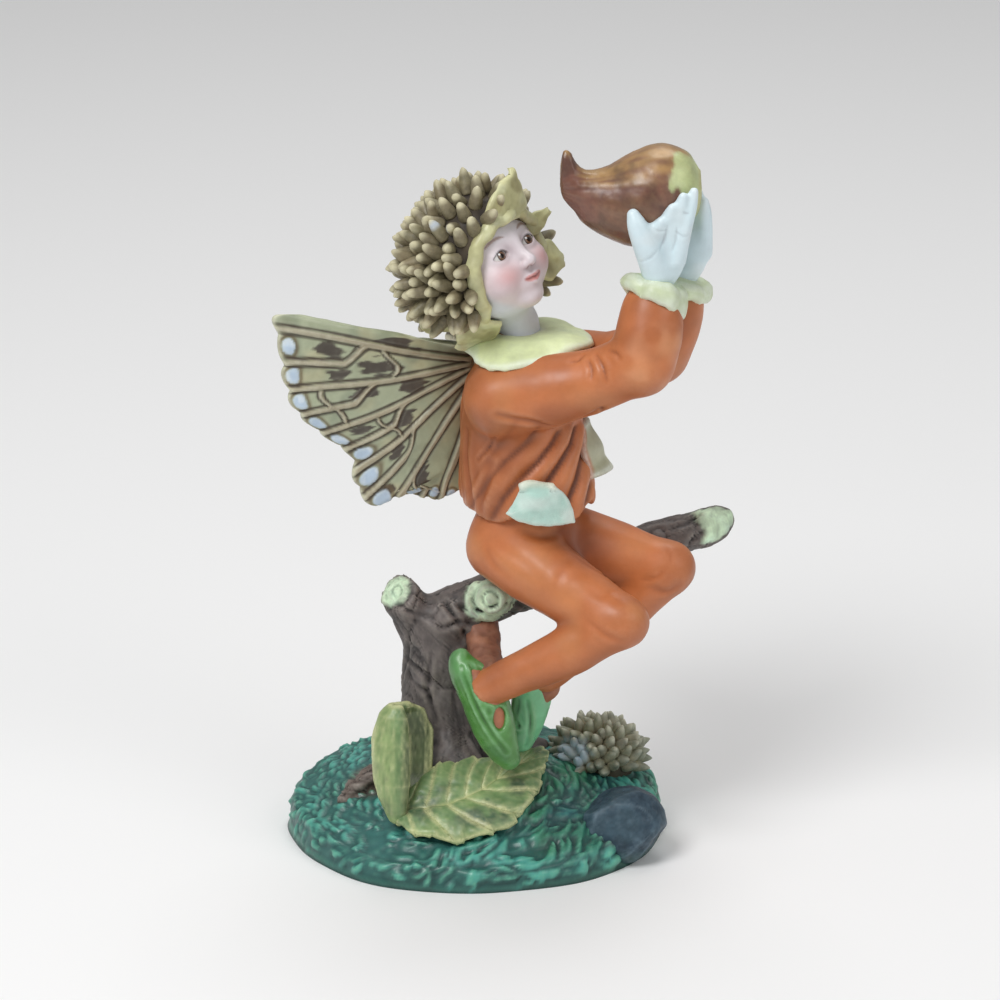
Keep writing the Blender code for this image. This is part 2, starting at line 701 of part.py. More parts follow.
def make_hand(name, wrist, along, palm_way, thumb_way, paint):
    """Hand with its fingers laid side by side, in one loft with grooves between them, and a thumb."""
    palm_way = unit(palm_way - along * np.dot(palm_way, along))
    thumb_side = unit(thumb_way - along * np.dot(thumb_way, along))
    knuckles = wrist + along * PALM_LENGTH
    sides = 18
    rings = []
    for reach, width, depth, groove, bend in (
        (-0.20, 0.40, 0.36, 0.0, 0.0),
        (0.35, 0.47, 0.33, 0.0, 0.0),
        (0.92, 0.50, 0.26, 0.3, 0.0),
        (1.25, 0.50, 0.22, 1.0, 0.05),
        (1.60, 0.47, 0.20, 1.0, 0.14),
        (1.86, 0.36, 0.15, 1.0, 0.26),
    ):
        centre = wrist + along * PALM_LENGTH * reach + palm_way * PALM_LENGTH * bend
        ring = []
        for k in range(sides):
            angle = 2 * math.pi * k / sides
            across = math.cos(angle)
            dip = 1 - 0.30 * groove * (0.5 - 0.5 * math.cos(4 * math.pi * (across + 1)))
            ring.append(
                centre
                + thumb_side * PALM_WIDTH * width * across
                + palm_way * PALM_WIDTH * depth * dip * math.sin(angle)
            )
        rings.append(ring)
    shape = bmesh.new()
    tip = wrist + along * (PALM_LENGTH + FINGER_LENGTH) + palm_way * PALM_LENGTH * 0.30
    add_rings(shape, rings, wrist - along * 0.24 * PALM_LENGTH, tip)
    finish_form(name, shape, paint)
    base = wrist + along * PALM_LENGTH * 0.35 + thumb_side * PALM_WIDTH * 0.30
    tip = base + unit(along + thumb_side * 0.55 + palm_way * 0.35) * FINGER_LENGTH * 0.95
    tube(name + "_thumb", (
        station(base, FINGER_RADIUS * 1.5),
        station(0.5 * (base + tip), FINGER_RADIUS * 1.15),
        station(tip, FINGER_RADIUS * 0.7),
    ), 6, paint, steps=1, across=palm_way)
    return knuckles


def make_arm(name, side, upper_way, fore_way, hand_way, paint, cuff_paint, skin_paint):
    """Sleeve, cuff and hand; returns where the knuckles come to lie."""
    top = shoulder(side)
    upper, fore, hand = heading(*upper_way), heading(*fore_way), heading(*hand_way)
    elbow = top + upper * UPPER_ARM_LENGTH
    wrist = elbow + fore * FOREARM_LENGTH
    tube(name + "_sleeve", (
        station(top - upper * 2.0 * MM, SLEEVE_RADIUS * 1.08),
        station(top + upper * UPPER_ARM_LENGTH * 0.3, SLEEVE_RADIUS * 1.16),
        station(top + upper * UPPER_ARM_LENGTH * 0.75, SLEEVE_RADIUS),
        station(elbow + unit(fore - upper) * 0.8 * MM, SLEEVE_RADIUS * 0.98),
        station(elbow + fore * FOREARM_LENGTH * 0.5, SLEEVE_RADIUS * 0.88),
        station(wrist, WRIST_RADIUS * 1.15),
    ), 10, paint)
    make_cuff(name + "_cuff", wrist, unit(fore + hand + heading(0.0) * 0.6), cuff_paint)
    thumb_way = heading(180.0)
    palm_way = BODY_LEFT * -side
    return make_hand(name + "_hand", wrist, hand, palm_way, thumb_way, skin_paint)


NUT_PROFILE = (
    (0.00, 0.00, 0.42),
    (0.10, 0.01, 0.80),
    (0.28, 0.00, 1.00),
    (0.48, -0.03, 0.88),
    (0.66, -0.06, 0.60),
    (0.80, -0.03, 0.36),
    (0.91, 0.07, 0.19),
    (1.00, 0.20, 0.08),
)


def make_nut(knuckles, paint, scar_paint):
    """Nut whose body draws out into a hooked tip, with a pale scar at its base."""
    along = heading(183.0, 4.0)
    rise = unit(UP - along * np.dot(UP, along))
    start = knuckles + NUT_SEAT + heading(3.0) * NUT_LENGTH * 0.28
    tube("nut", [
        station(
            start + along * NUT_LENGTH * share + rise * NUT_LENGTH * lift,
            NUT_RADIUS * width, NUT_RADIUS * width * 0.86,
        )
        for share, lift, width in NUT_PROFILE
    ], 14, paint, steps=1, across=rise)
    ball(
        "nut_scar", start + along * NUT_LENGTH * 0.10 + rise * NUT_RADIUS * 0.2,
        (along, rise, np.cross(along, rise)),
        (NUT_LENGTH * 0.15, NUT_RADIUS * 0.80, NUT_RADIUS * 0.76), 10, 6, scar_paint,
    )


def on_head(ahead, left, up):
    """Point in the head's own frame, as shares of its half depth, half width and half height."""
    return (
        HEAD
        + FACE * ahead * HEAD_DEPTH
        + HEAD_LEFT * left * HEAD_HALF_WIDTH
        + CROWN * up * HEAD_HALF_HEIGHT
    )


def bump(way, centre, spread):
    """Smooth hill on a sphere of directions, one at its centre."""
    gap = np.linalg.norm((way - unit(np.array(centre))) / np.array(spread))
    return math.exp(-gap * gap)


def face_relief(way):
    """Brow, eye hollows, nose, cheeks, mouth and chin of a plain child's face."""
    ahead, left, up = way
    mirrored = np.array((ahead, abs(left), up))
    lift = 0.85 * MM * bump(way, (1.0, 0.0, -0.20), (0.5, 0.13, 0.15))
    lift += 0.55 * MM * bump(way, (1.0, 0.0, -0.27), (0.5, 0.16, 0.09))
    lift -= 0.65 * MM * bump(mirrored, (0.93, 0.36, 0.02), (0.5, 0.18, 0.14))
    lift += 0.55 * MM * bump(mirrored, (0.84, 0.46, -0.36), (0.5, 0.26, 0.24))
    lift += 0.55 * MM * bump(way, (0.9, 0.0, -0.46), (0.5, 0.22, 0.10))
    lift += 0.75 * MM * bump(way, (0.78, 0.0, -0.72), (0.5, 0.26, 0.18))
    lift += 0.25 * MM * bump(way, (0.9, 0.0, 0.35), (0.6, 0.5, 0.25))
    lift -= 0.9 * MM * bump(mirrored, (0.25, 0.75, -0.75), (0.5, 0.5, 0.35))
    return lift


def make_head(skin_paint):
    """Neck, and a skull with a softly modelled face."""
    throat = NECK + BODY_FORWARD * 0.4 * MM
    tube("neck", (
        station(throat - UP * 2.0 * MM, NECK_RADIUS * 1.25),
        station(throat + UP * 1.6 * MM, NECK_RADIUS),
        station(HEAD - CROWN * HEAD_HALF_HEIGHT * 0.45, NECK_RADIUS * 1.05),
    ), 12, skin_paint)
    ball(
        "head", HEAD, (FACE, HEAD_LEFT, CROWN),
        (HEAD_DEPTH, HEAD_HALF_WIDTH, HEAD_HALF_HEIGHT), 22, 16, skin_paint, face_relief,
    )


def hood_centre():
    return HEAD - FACE * HOOD_SETBACK + CROWN * 0.1 * MM


def opening_angle(turn):
    """Half angle of the face opening at a turn round the face, zero at the brow and 180 below."""
    return np.interp(abs(turn), (0.0, 45.0, 90.0, 130.0, 180.0), FACE_OPENING)


def toward(turn, angle):
    """Direction at an angle from straight ahead of the face, turned from the brow towards the left."""
    turn, angle = math.radians(turn), math.radians(angle)
    side = HEAD_LEFT * math.sin(turn) + CROWN * math.cos(turn)
    return FACE * math.cos(angle) + side * math.sin(angle)


def outside_opening(way):
    """Degrees by which a direction from the head's centre lies outside the face opening."""
    angle = math.degrees(math.acos(max(-1.0, min(1.0, np.dot(way, FACE)))))
    turn = math.degrees(math.atan2(np.dot(way, HEAD_LEFT), np.dot(way, CROWN)))
    return angle - opening_angle(turn)


def skull_reach(way):
    """Distance from the head's centre to the skull's surface."""
    return 1 / math.sqrt(
        (np.dot(way, FACE) / HEAD_DEPTH) ** 2
        + (np.dot(way, HEAD_LEFT) / HEAD_HALF_WIDTH) ** 2
        + (np.dot(way, CROWN) / HEAD_HALF_HEIGHT) ** 2
    )


def hood_reach(way):
    """Distance from the head's centre to the hood's shell, which sinks under the skin at the face."""
    if outside_opening(way) < 0.0:
        return skull_reach(way) - 0.9 * MM
    offset = hood_centre() - HEAD
    level = np.dot(way, offset)
    ball_reach = level + math.sqrt(level ** 2 - np.dot(offset, offset) + HOOD_RADIUS ** 2)
    return max(skull_reach(way) + 0.8 * MM, ball_reach)


def make_hood(shell_paint, spine_paint, lobe_paint):
    """Burr hood: a round shell set with blunt spines, a folded rim and leafy lobes."""
    shape = bmesh.new()
    bmesh.ops.create_uvsphere(shape, u_segments=16, v_segments=11, radius=1.0)
    for vert in shape.verts:
        way = unit(FACE * vert.co.z + HEAD_LEFT * vert.co.x + CROWN * vert.co.y)
        vert.co = HEAD + way * hood_reach(way)
    finish_form("hood_shell", shape, shell_paint)
    chooser = random.Random(5)
    shape = bmesh.new()
    for way in spread_directions(HOOD_SPINE_COUNT):
        aim = unit(hood_centre() + way * HOOD_RADIUS - HEAD)
        sway = np.array([chooser.uniform(-0.16, 0.16) for _ in range(3)])
        length = SPINE_LENGTH * chooser.uniform(0.85, 1.12)
        bare = FAR_BROW_BARE if np.dot(aim, HEAD_LEFT) > 0 and np.dot(aim, CROWN) > 0 else RIM_BARE
        if outside_opening(aim) < bare or np.dot(aim, UP) < -0.84:
            continue
        root = HEAD + aim * (hood_reach(aim) - 0.25 * MM)
        add_spine(shape, root, unit(way + aim + 2 * sway), length, SPINE_RADIUS)
    finish_form("hood_spines", shape, spine_paint)
    rim = []
    for turn in range(-150, 151, 20):
        way = toward(turn, opening_angle(turn) + 2.0)
        rim.append(station(HEAD + way * (skull_reach(way) + 0.2 * MM), RIM_BAND, RIM_BAND * 0.9))
    tube("hood_rim", rim, 6, lobe_paint, steps=1, across=FACE)
    for name, turn, angle, rise, lean, length, width in LOBES:
        way = toward(turn, angle)
        along = unit(toward(turn, angle + 90.0) * lean + way * rise)
        root = HEAD + way * (skull_reach(way) + 0.5 * MM)
        make_lobe(name, root, along, np.cross(along, way), length, width, lobe_paint)


def make_lobe(name, root, along, across, length, width, paint):
    """Leafy lobe of the hood, cupped and pointed; its length and width are in millimetres."""
    along = unit(along)
    across = unit(across - along * np.dot(across, along))
    out = np.cross(along, across)
    if np.dot(out, root - HEAD) < 0:
        out = -out
    grid = leaf_grid(
        root - along * 1.4 * MM, along, across, -out, (length + 1.4) * MM, width * MM, 0.7, 5, 4,
    )
    sheet(name, grid, LOBE_THICKNESS, paint)


# Wing outline as shares of the span: reach from the root and height, from leading to trailing edge
WING_EDGE = (
    (0.55, 0.545),
    (0.97, 0.665),
    (0.97, 0.500),
    (0.945, 0.300),
    (0.89, 0.150),
    (0.77, 0.020),
    (0.60, -0.130),
    (0.575, -0.270),
    (0.49, -0.420),
    (0.41, -0.375),
    (0.28, -0.375),
    (0.12, -0.430),
)
WING_ROOT_TOP = 0.40
WING_ROOT_BOTTOM = -0.36
WING_VEINS = 11


def make_wing(name, yaw, turn, paint):
    """One open wing: a thin cupped sheet with raised veins that fan out from its root."""
    way = heading(yaw)
    normal = heading(yaw + 90.0 * turn)
    spine = tunic_point(0.55, math.pi) - BODY_FORWARD * 0.2 * MM
    root = spine + heading(BODY_YAW - 90.0 * turn) * 2.2 * MM - way * WING_INSET - UP * 1.3 * MM
    edge = smooth(WING_EDGE, 2)
    columns = 6
    grid = []
    lifts = []
    for i, (reach, rise) in enumerate(edge):
        t = i / (len(edge) - 1)
        start = WING_ROOT_TOP + (WING_ROOT_BOTTOM - WING_ROOT_TOP) * t
        line = []
        for k in range(columns):
            s = k / (columns - 1)
            out = (WING_INSET / WING_SPAN) * s + reach * s
            height = start + (rise - start) * s
            cup = 0.05 * math.sin(math.pi * s) * math.cos(2.2 * (t - 0.4))
            line.append(root + WING_SPAN * (way * out + UP * height + normal * cup))
        grid.append(line)
        lifts.append(0.5 + 0.5 * math.cos(2 * math.pi * t * WING_VEINS))
    thickness = [[WING_THICKNESS * (1.6 - 0.6 * min(1.0, 3 * k / (columns - 1)))
                  + 2 * VEIN_HEIGHT * lift for k in range(columns)] for lift in lifts]
    sheet(name, grid, np.array(thickness), paint)


def join_forms(paint):
    """Fuse every form into the base, as the casting is one solid."""
    base = FORMS.objects["base_mound"]
    mesh = base.data.copy()
    mesh.name = "fairy_figurine"
    figurine = bpy.data.objects.new("fairy_figurine", mesh)
    bpy.context.scene.collection.objects.link(figurine)
    FORMS.objects.unlink(base)
    bpy.data.objects.remove(base)
    union = figurine.modifiers.new("one_casting", "BOOLEAN")
    union.operation = "UNION"
    union.operand_type = "COLLECTION"
    union.collection = FORMS
    union.solver = "EXACT"
    union.use_self = True
    union.material_mode = "TRANSFER"
    flats = figurine.modifiers.new("merge_flat_neighbours", "DECIMATE")
    flats.decimate_type = "DISSOLVE"
    flats.angle_limit = math.radians(FLAT_ANGLE)
    return figurine


def build():
    """Model every form of the casting and fuse them."""
    grass = material("grass_paint", (0.06, 0.20, 0.15), 0.6)
    rock = material("rock_paint", (0.10, 0.14, 0.16), 0.7)
    bark_paint = material("bark_paint", (0.13, 0.10, 0.08), 0.7)
    cut = material("cut_wood_paint", (0.60, 0.62, 0.36), 0.6)
    leaf = material("leaf_paint", (0.30, 0.33, 0.10), 0.5)
    cloth = material("cloth_paint", (0.50, 0.15, 0.04), 0.5)
    cream = material("cream_paint", (0.72, 0.72, 0.48), 0.5)
    skin = material("skin_paint", (0.72, 0.66, 0.68), 0.4)
    burr = material("burr_paint", (0.10, 0.07, 0.04), 0.7)
    spines = material("spine_paint", (0.30, 0.24, 0.12), 0.6)
    lobes = material("lobe_paint", (0.60, 0.58, 0.28), 0.5)
    nut = material("nut_paint", (0.16, 0.07, 0.03), 0.35)
    shoe = material("shoe_paint", (0.10, 0.32, 0.10), 0.45)
    sock = material("sock_paint", (0.35, 0.15, 0.07), 0.55)
    wing = material("wing_paint", (0.45, 0.42, 0.28), 0.5)
    make_base(grass)
    make_rock(rock)
    make_ground_burr(burr, spines)
    make_tree(bark_paint, cut)
    make_leaf(leaf)
    ball(
        "pelvis", PELVIS + UP * PELVIS_RADIUS * 0.3 + BODY_FORWARD * MM, (BODY_FORWARD, BODY_LEFT, UP),
        (PELVIS_RADIUS, PELVIS_RADIUS * 1.1, PELVIS_RADIUS * 1.35), 12, 8, cloth,
    )
    ankle = make_leg(
        "near_leg", -1, NEAR_THIGH, NEAR_SHIN, NEAR_SHIN_LENGTH, NEAR_FOOT, cloth, shoe, sock,
    )
    make_leg("far_leg", 1, FAR_THIGH, FAR_SHIN, FAR_SHIN_LENGTH, FAR_FOOT, cloth, shoe, sock)
    make_strut(FORK + UP * 1.0 * MM + place(4.0, -0.5, 0.0), ankle + place(0.5, 1.0, 1.0), sock)
    make_tunic(cloth, cream)
    make_collar(cream)
    knuckles = make_arm(
        "near_arm", -1, NEAR_UPPER_ARM, NEAR_FOREARM, NEAR_HAND, cloth, cream, skin,
    )
    make_arm("far_arm", 1, FAR_UPPER_ARM, FAR_FOREARM, FAR_HAND, cloth, cream, skin)
    make_nut(knuckles, nut, cut)
    make_head(skin)
    make_hood(burr, spines, lobes)
    make_wing("near_wing", NEAR_WING_YAW, 1, wing)
    make_wing("far_wing", FAR_WING_YAW, -1, wing)
    join_forms(grass)


for leftover in list(bpy.data.objects):
    bpy.data.objects.remove(leftover)
FORMS = bpy.data.collections.new("forms")
bpy.context.scene.collection.children.link(FORMS)
build()
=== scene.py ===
"""Hand-painted resin fairy figurine: a fairy in a burr hood sits on a forked branch and lifts a nut."""

import math

import bpy
import numpy as np
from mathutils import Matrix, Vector


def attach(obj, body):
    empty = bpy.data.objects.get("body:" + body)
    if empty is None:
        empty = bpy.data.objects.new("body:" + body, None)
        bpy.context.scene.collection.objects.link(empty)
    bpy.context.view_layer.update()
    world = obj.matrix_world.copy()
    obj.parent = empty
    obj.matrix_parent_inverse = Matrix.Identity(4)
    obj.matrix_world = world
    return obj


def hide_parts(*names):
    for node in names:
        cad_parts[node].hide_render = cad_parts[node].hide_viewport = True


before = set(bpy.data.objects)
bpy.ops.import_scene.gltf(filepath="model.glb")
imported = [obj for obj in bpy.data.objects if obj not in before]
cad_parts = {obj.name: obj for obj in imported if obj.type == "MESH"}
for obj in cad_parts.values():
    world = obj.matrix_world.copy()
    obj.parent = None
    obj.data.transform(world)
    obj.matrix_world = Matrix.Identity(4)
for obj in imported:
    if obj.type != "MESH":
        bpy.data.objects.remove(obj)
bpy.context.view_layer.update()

MM = 0.001
UP = np.array((0.0, 0.0, 1.0))
FAR_AWAY = 4.0
HASH_STEPS = np.array((73856093, 19349663, 83492791))
SEED_STEP, HASH_TURN, HASH_LIMIT = 2654435, 1274126177, 0x7FFFFFFF
GRAIN_SHIFT = 57.3


# Small vector helpers, all in millimetres

def at(x, y, z):
    return np.array((x, y, z), float)


def heading(yaw, pitch=0.0):
    """Unit vector turned by yaw from +X towards +Y and raised by pitch, both in degrees."""
    flat = math.cos(math.radians(pitch))
    yaw = math.radians(yaw)
    return at(flat * math.cos(yaw), flat * math.sin(yaw), math.sin(math.radians(pitch)))


def unit(vectors):
    return vectors / np.maximum(np.linalg.norm(vectors, axis=-1, keepdims=True), 1e-9)


def smooth(rows, steps):
    """Rows read off a smooth curve that passes through the given rows."""
    rows = np.array(rows, float)
    padded = np.vstack((2 * rows[0] - rows[1], rows, 2 * rows[-1] - rows[-2]))
    t = (np.arange(steps) / steps)[:, None]
    curve = []
    for before, start, end, after in zip(padded, padded[1:], padded[2:], padded[3:]):
        curve.append(0.5 * (
            2 * start + (end - before) * t + (2 * before - 5 * start + 4 * end - after) * t ** 2
            + (3 * start - 3 * end + after - before) * t ** 3
        ))
    return np.vstack(curve + [rows[-1:]])


def along_curve(rows, shares):
    """The smooth curve through rows, read at shares of its way."""
    fine = smooth(rows, 24)
    where = np.asarray(shares) * (len(fine) - 1)
    return np.stack([np.interp(where, np.arange(len(fine)), fine[:, k]) for k in range(fine.shape[1])], -1)


def step_up(low, high, values):
    """0 below low, 1 above high and a smooth rise between them."""
    t = np.clip((values - low) / (high - low), 0.0, 1.0)
    return t * t * (3 - 2 * t)


def grain(points, size, seed=0):
    """Smooth noise between -1 and 1 whose lumps are about size across; size may differ by axis."""
    p = points / np.array(size, float) + GRAIN_SHIFT
    cell = np.floor(p).astype(np.int64)
    t = p - cell
    t = t * t * (3 - 2 * t)
    total = np.zeros(len(p))
    for corner in range(8):
        offset = np.array((corner & 1, corner >> 1 & 1, corner >> 2 & 1))
        key = (cell + offset) @ HASH_STEPS + seed * SEED_STEP
        key = (key ^ (key >> 13)) * HASH_TURN & HASH_LIMIT
        value = ((key ^ (key >> 16)) & 0xFFFF) / 32767.5 - 1.0
        weight = np.prod(np.where(offset, t, 1 - t), axis=1)
        total += value * weight
    return total


def layered_grain(points, size, layers=3, seed=0):
    size = np.array(size, float)
    return sum(grain(points, size / 2 ** k, seed + k) * 0.55 ** k for k in range(layers))


# Modelling clay: signed distances on a grid, negative inside, turned into a surface at the end

def limb(rows, steps=6):
    """A rounded limb through rows of x, y, z and radius; returns its distance and its box."""
    rows = smooth(rows, steps)
    low = (rows[:, :3] - rows[:, 3:]).min(0)
    high = (rows[:, :3] + rows[:, 3:]).max(0)

    def distance(p):
        best = np.full(p.shape[:-1], 99.0, np.float32)
        for start, end in zip(rows, rows[1:]):
            way = end[:3] - start[:3]
            t = np.clip(((p - start[:3]) @ way) / max(way @ way, 1e-9), 0.0, 1.0)
            gap = np.linalg.norm(p - start[:3] - t[..., None] * way, axis=-1)
            best = np.minimum(best, gap - (start[3] + (end[3] - start[3]) * t))
        return best

    return distance, low, high


def egg(centre, radii, axes=None):
    """An ellipsoid on three axes; returns its distance and its box."""
    axes = np.eye(3) if axes is None else np.array(axes)
    radii = np.array(radii, float) * np.ones(3)
    reach = np.sqrt(((axes * radii[:, None]) ** 2).sum(0))

    def distance(p):
        q = (p - centre) @ axes.T
        near = np.linalg.norm(q / radii, axis=-1)
        return near * (near - 1.0) / np.maximum(np.linalg.norm(q / radii ** 2, axis=-1), 1e-6)

    return distance, centre - reach, centre + reach


class Clay:
    """A block that forms are added to and carved from."""

    def __init__(self, low, high, step):
        self.low = np.array(low, float)
        self.step = step
        count = np.ceil((np.array(high) - self.low) / step).astype(int) + 1
        self.field = np.full(count, FAR_AWAY, np.float32)

    def part(self, low, high, margin):
        first = np.clip(np.floor((low - margin - self.low) / self.step), 0, None).astype(int)
        last = np.minimum(np.ceil((high + margin - self.low) / self.step).astype(int) + 1, self.field.shape)
        cut = tuple(slice(a, max(a, b)) for a, b in zip(first, last))
        axes = [self.low[k] + self.step * np.arange(cut[k].start, cut[k].stop) for k in range(3)]
        return cut, np.stack(np.meshgrid(*axes, indexing="ij"), -1)

    def add(self, form, blend=0.6):
        distance, low, high = form
        cut, points = self.part(low, high, blend + 2 * self.step)
        old, new = self.field[cut], distance(points)
        h = np.clip(0.5 + 0.5 * (old - new) / blend, 0.0, 1.0)
        self.field[cut] = old + (new - old) * h - blend * h * (1 - h)

    def carve(self, form, blend=0.3):
        distance, low, high = form
        cut, points = self.part(low, high, blend + 2 * self.step)
        old, new = self.field[cut], -distance(points)
        h = np.clip(0.5 - 0.5 * (old - new) / blend, 0.0, 1.0)
        self.field[cut] = old + (new - old) * h + blend * h * (1 - h)

    def slice_off(self, point, way, blend=0.2):
        """Removes what lies beyond a plane through point, on the side that way points to."""
        top = self.low + self.step * np.array(self.field.shape)
        self.carve((lambda p: (point - p) @ way, self.low, top), blend)

    def surface(self):
        """Points and four-sided faces of the clay's skin."""
        field = self.field
        inside = field < 0
        cells = np.array(field.shape) - 1
        faces, places = [], []
        for axis in range(3):
            head = tuple(slice(0, -1) if k == axis else slice(None) for k in range(3))
            tail = tuple(slice(1, None) if k == axis else slice(None) for k in range(3))
            spot = np.argwhere(inside[head] != inside[tail])
            a = field[head][tuple(spot.T)]
            b = field[tail][tuple(spot.T)]
            place = spot.astype(float)
            place[:, axis] += a / (a - b)
            ring = []
            for one, two in ((0, 0), (-1, 0), (-1, -1), (0, -1)):
                cell = spot.copy()
                cell[:, (axis + 1) % 3] += one
                cell[:, (axis + 2) % 3] += two
                ring.append(np.ravel_multi_index(cell.T, cells, mode="clip"))
            ring = np.stack(ring, 1)
            ring[a > 0] = ring[a > 0][:, ::-1]
            faces.append(ring)
            places.append(np.repeat(place[:, None], 4, 1))
        faces = np.concatenate(faces)
        places = np.concatenate(places).reshape(-1, 3)
        _, index = np.unique(faces.ravel(), return_inverse=True)
        share = np.bincount(index)
        points = np.stack([np.bincount(index, places[:, k]) / share for k in range(3)], 1)
        faces = [index.reshape(-1, 4)]
        points = self.low + points * self.step
        return relax(points, faces, 2), faces


# Meshes as arrays of points and a list of face arrays

def edge_pairs(faces):
    return np.concatenate([np.stack((f, np.roll(f, -1, 1)), 2).reshape(-1, 2) for f in faces])


def neighbour_mean(values, pairs, count):
    a, b = pairs.T
    degree = np.maximum(np.bincount(a, minlength=count) + np.bincount(b, minlength=count), 1)
    columns = values.reshape(count, -1)
    total = [np.bincount(a, c[b], count) + np.bincount(b, c[a], count) for c in columns.T]
    return (np.stack(total, 1) / degree[:, None]).reshape(values.shape)


def relax(points, faces, rounds, strength=0.5):
    pairs = edge_pairs(faces)
    for _ in range(rounds):
        points = points + strength * (neighbour_mean(points, pairs, len(points)) - points)
    return points


def normals_of(points, faces):
    total = np.zeros_like(points)
    for f in faces:
        if f.shape[1] == 4:
            flat = np.cross(points[f[:, 2]] - points[f[:, 0]], points[f[:, 3]] - points[f[:, 1]])
        else:
            flat = np.cross(points[f[:, 1]] - points[f[:, 0]], points[f[:, 2]] - points[f[:, 0]])
        for k in range(3):
            corner = np.bincount(f.ravel(), np.repeat(flat[:, k], f.shape[1]), len(points))
            total[:, k] += corner
    return unit(total)


def grid_faces(rows, columns, wrap=False):
    """Four-sided faces of a grid of points, closed in its second direction where wrap is set."""
    i, k = np.meshgrid(np.arange(rows - 1), np.arange(columns if wrap else columns - 1), indexing="ij")
    n = (k + 1) % columns
    return np.stack(
        (i * columns + k, i * columns + n, (i + 1) * columns + n, (i + 1) * columns + k), -1,
    ).reshape(-1, 4)


def loft(rings, start, end):
    """Closed surface through rings of points, with a pole at each end."""
    rings = np.asarray(rings, float)
    rows, sides = rings.shape[:2]
    points = np.vstack((rings.reshape(-1, 3), start, end))
    k = np.arange(sides)
    n = (k + 1) % sides
    first = np.stack((n, k, np.full(sides, rows * sides)), 1)
    top = (rows - 1) * sides
    last = np.stack((top + k, top + n, np.full(sides, rows * sides + 1)), 1)
    return points, [grid_faces(rows, sides, wrap=True), np.concatenate((first, last))]


def thick_sheet(middle, thickness, closed=False, edge=4):
    """A curved sheet with rounded edges round a grid of middle points; rows close up if closed."""
    rows, columns = middle.shape[:2]
    if closed:
        padded = np.concatenate((middle[-1:], middle, middle[:1]))
        down = np.gradient(padded, axis=0)[1:-1]
    else:
        down = np.gradient(middle, axis=0)
    out = unit(np.cross(down, np.gradient(middle, axis=1)))
    k = np.arange(columns)
    near = np.minimum(k, columns - 1 - k)[None, :] * np.ones((rows, 1))
    if not closed:
        i = np.arange(rows)
        near = np.minimum(near, np.minimum(i, rows - 1 - i)[:, None])
    round_off = np.sqrt(np.clip(1 - (1 - np.minimum(near / edge, 1.0)) ** 2, 0, 1))
    half = 0.5 * thickness * round_off
    front = (middle + out * half[..., None]).reshape(-1, 3)
    back = (middle - out * half[..., None]).reshape(-1, 3)
    inner = (near > 0).ravel()
    index = np.arange(rows * columns)
    other = index.copy()
    other[inner] = rows * columns + np.arange(inner.sum())
    if closed:
        faces = grid_faces(rows + 1, columns)
        faces = faces % (rows * columns)
    else:
        faces = grid_faces(rows, columns)
    points = np.vstack((front, back[inner]))
    return points, [np.concatenate((faces, other[faces][:, ::-1]))]


def outward(points, faces):
    """The faces, turned round if the closed surface has a negative volume."""
    volume = 0.0
    for f in faces:
        a, b, c = points[f[:, 0]], points[f[:, 1]], points[f[:, 2]]
        volume += np.einsum("ij,ij->i", a, np.cross(b, c)).sum()
        if f.shape[1] == 4:
            volume += np.einsum("ij,ij->i", a, np.cross(c, points[f[:, 3]])).sum()
    return faces if volume > 0 else [f[:, ::-1] for f in faces]


def merged(parts):
    """Several surfaces as one."""
    points = np.vstack([p for p, _ in parts])
    faces, start = [], 0
    for p, listed in parts:
        faces += [f + start for f in outward(p, listed)]
        start += len(p)
    sizes = sorted({f.shape[1] for f in faces})
    return points, [np.concatenate([f for f in faces if f.shape[1] == size]) for size in sizes]


# Sculptor's strokes

FRONT_TARGET = at(2.96, 0.0, 48.6)
FRONT_DISTANCE = 600.0
FRONT_ELEVATION = 20.0
FRONT_LENS = 160.6
SENSOR = 36.0
FRONT_BACK = heading(-90.0, FRONT_ELEVATION)
FRONT_EYE = FRONT_TARGET + FRONT_BACK * FRONT_DISTANCE
FRONT_RIGHT = at(1.0, 0.0, 0.0)
FRONT_UP = np.cross(FRONT_BACK, FRONT_RIGHT)


def sight(across, down):
    """Direction from the front camera through a spot of its picture, in thousandths of its width."""
    spread = 0.5 * SENSOR / FRONT_LENS
    return unit(
        -FRONT_BACK + FRONT_RIGHT * spread * (across - 500) / 500 + FRONT_UP * spread * (500 - down) / 500
    )


def seen_at(points):
    """Where points lie in the front camera's picture, and their depths along its line of sight."""
    offset = points - FRONT_EYE
    depth = offset @ -FRONT_BACK
    scale = 500 / (0.5 * SENSOR / FRONT_LENS) / depth
    return 500 + scale * (offset @ FRONT_RIGHT), 500 - scale * (offset @ FRONT_UP), depth


def touched(points, normals, across, down):
    """Where the front camera's line of sight first meets a surface."""
    way = sight(across, down)
    offset = points - FRONT_EYE
    depth = offset @ way
    aside = np.linalg.norm(offset - depth[:, None] * way, axis=1)
    facing = normals @ way < 0.1
    width = 0.35
    while not (facing & (aside < width)).any():
        width *= 1.4
    hit = np.flatnonzero(facing & (aside < width))
    first = depth[hit].min()
    hit = hit[depth[hit] < first + 0.8]
    return points[hit[np.argmin(aside[hit])]]


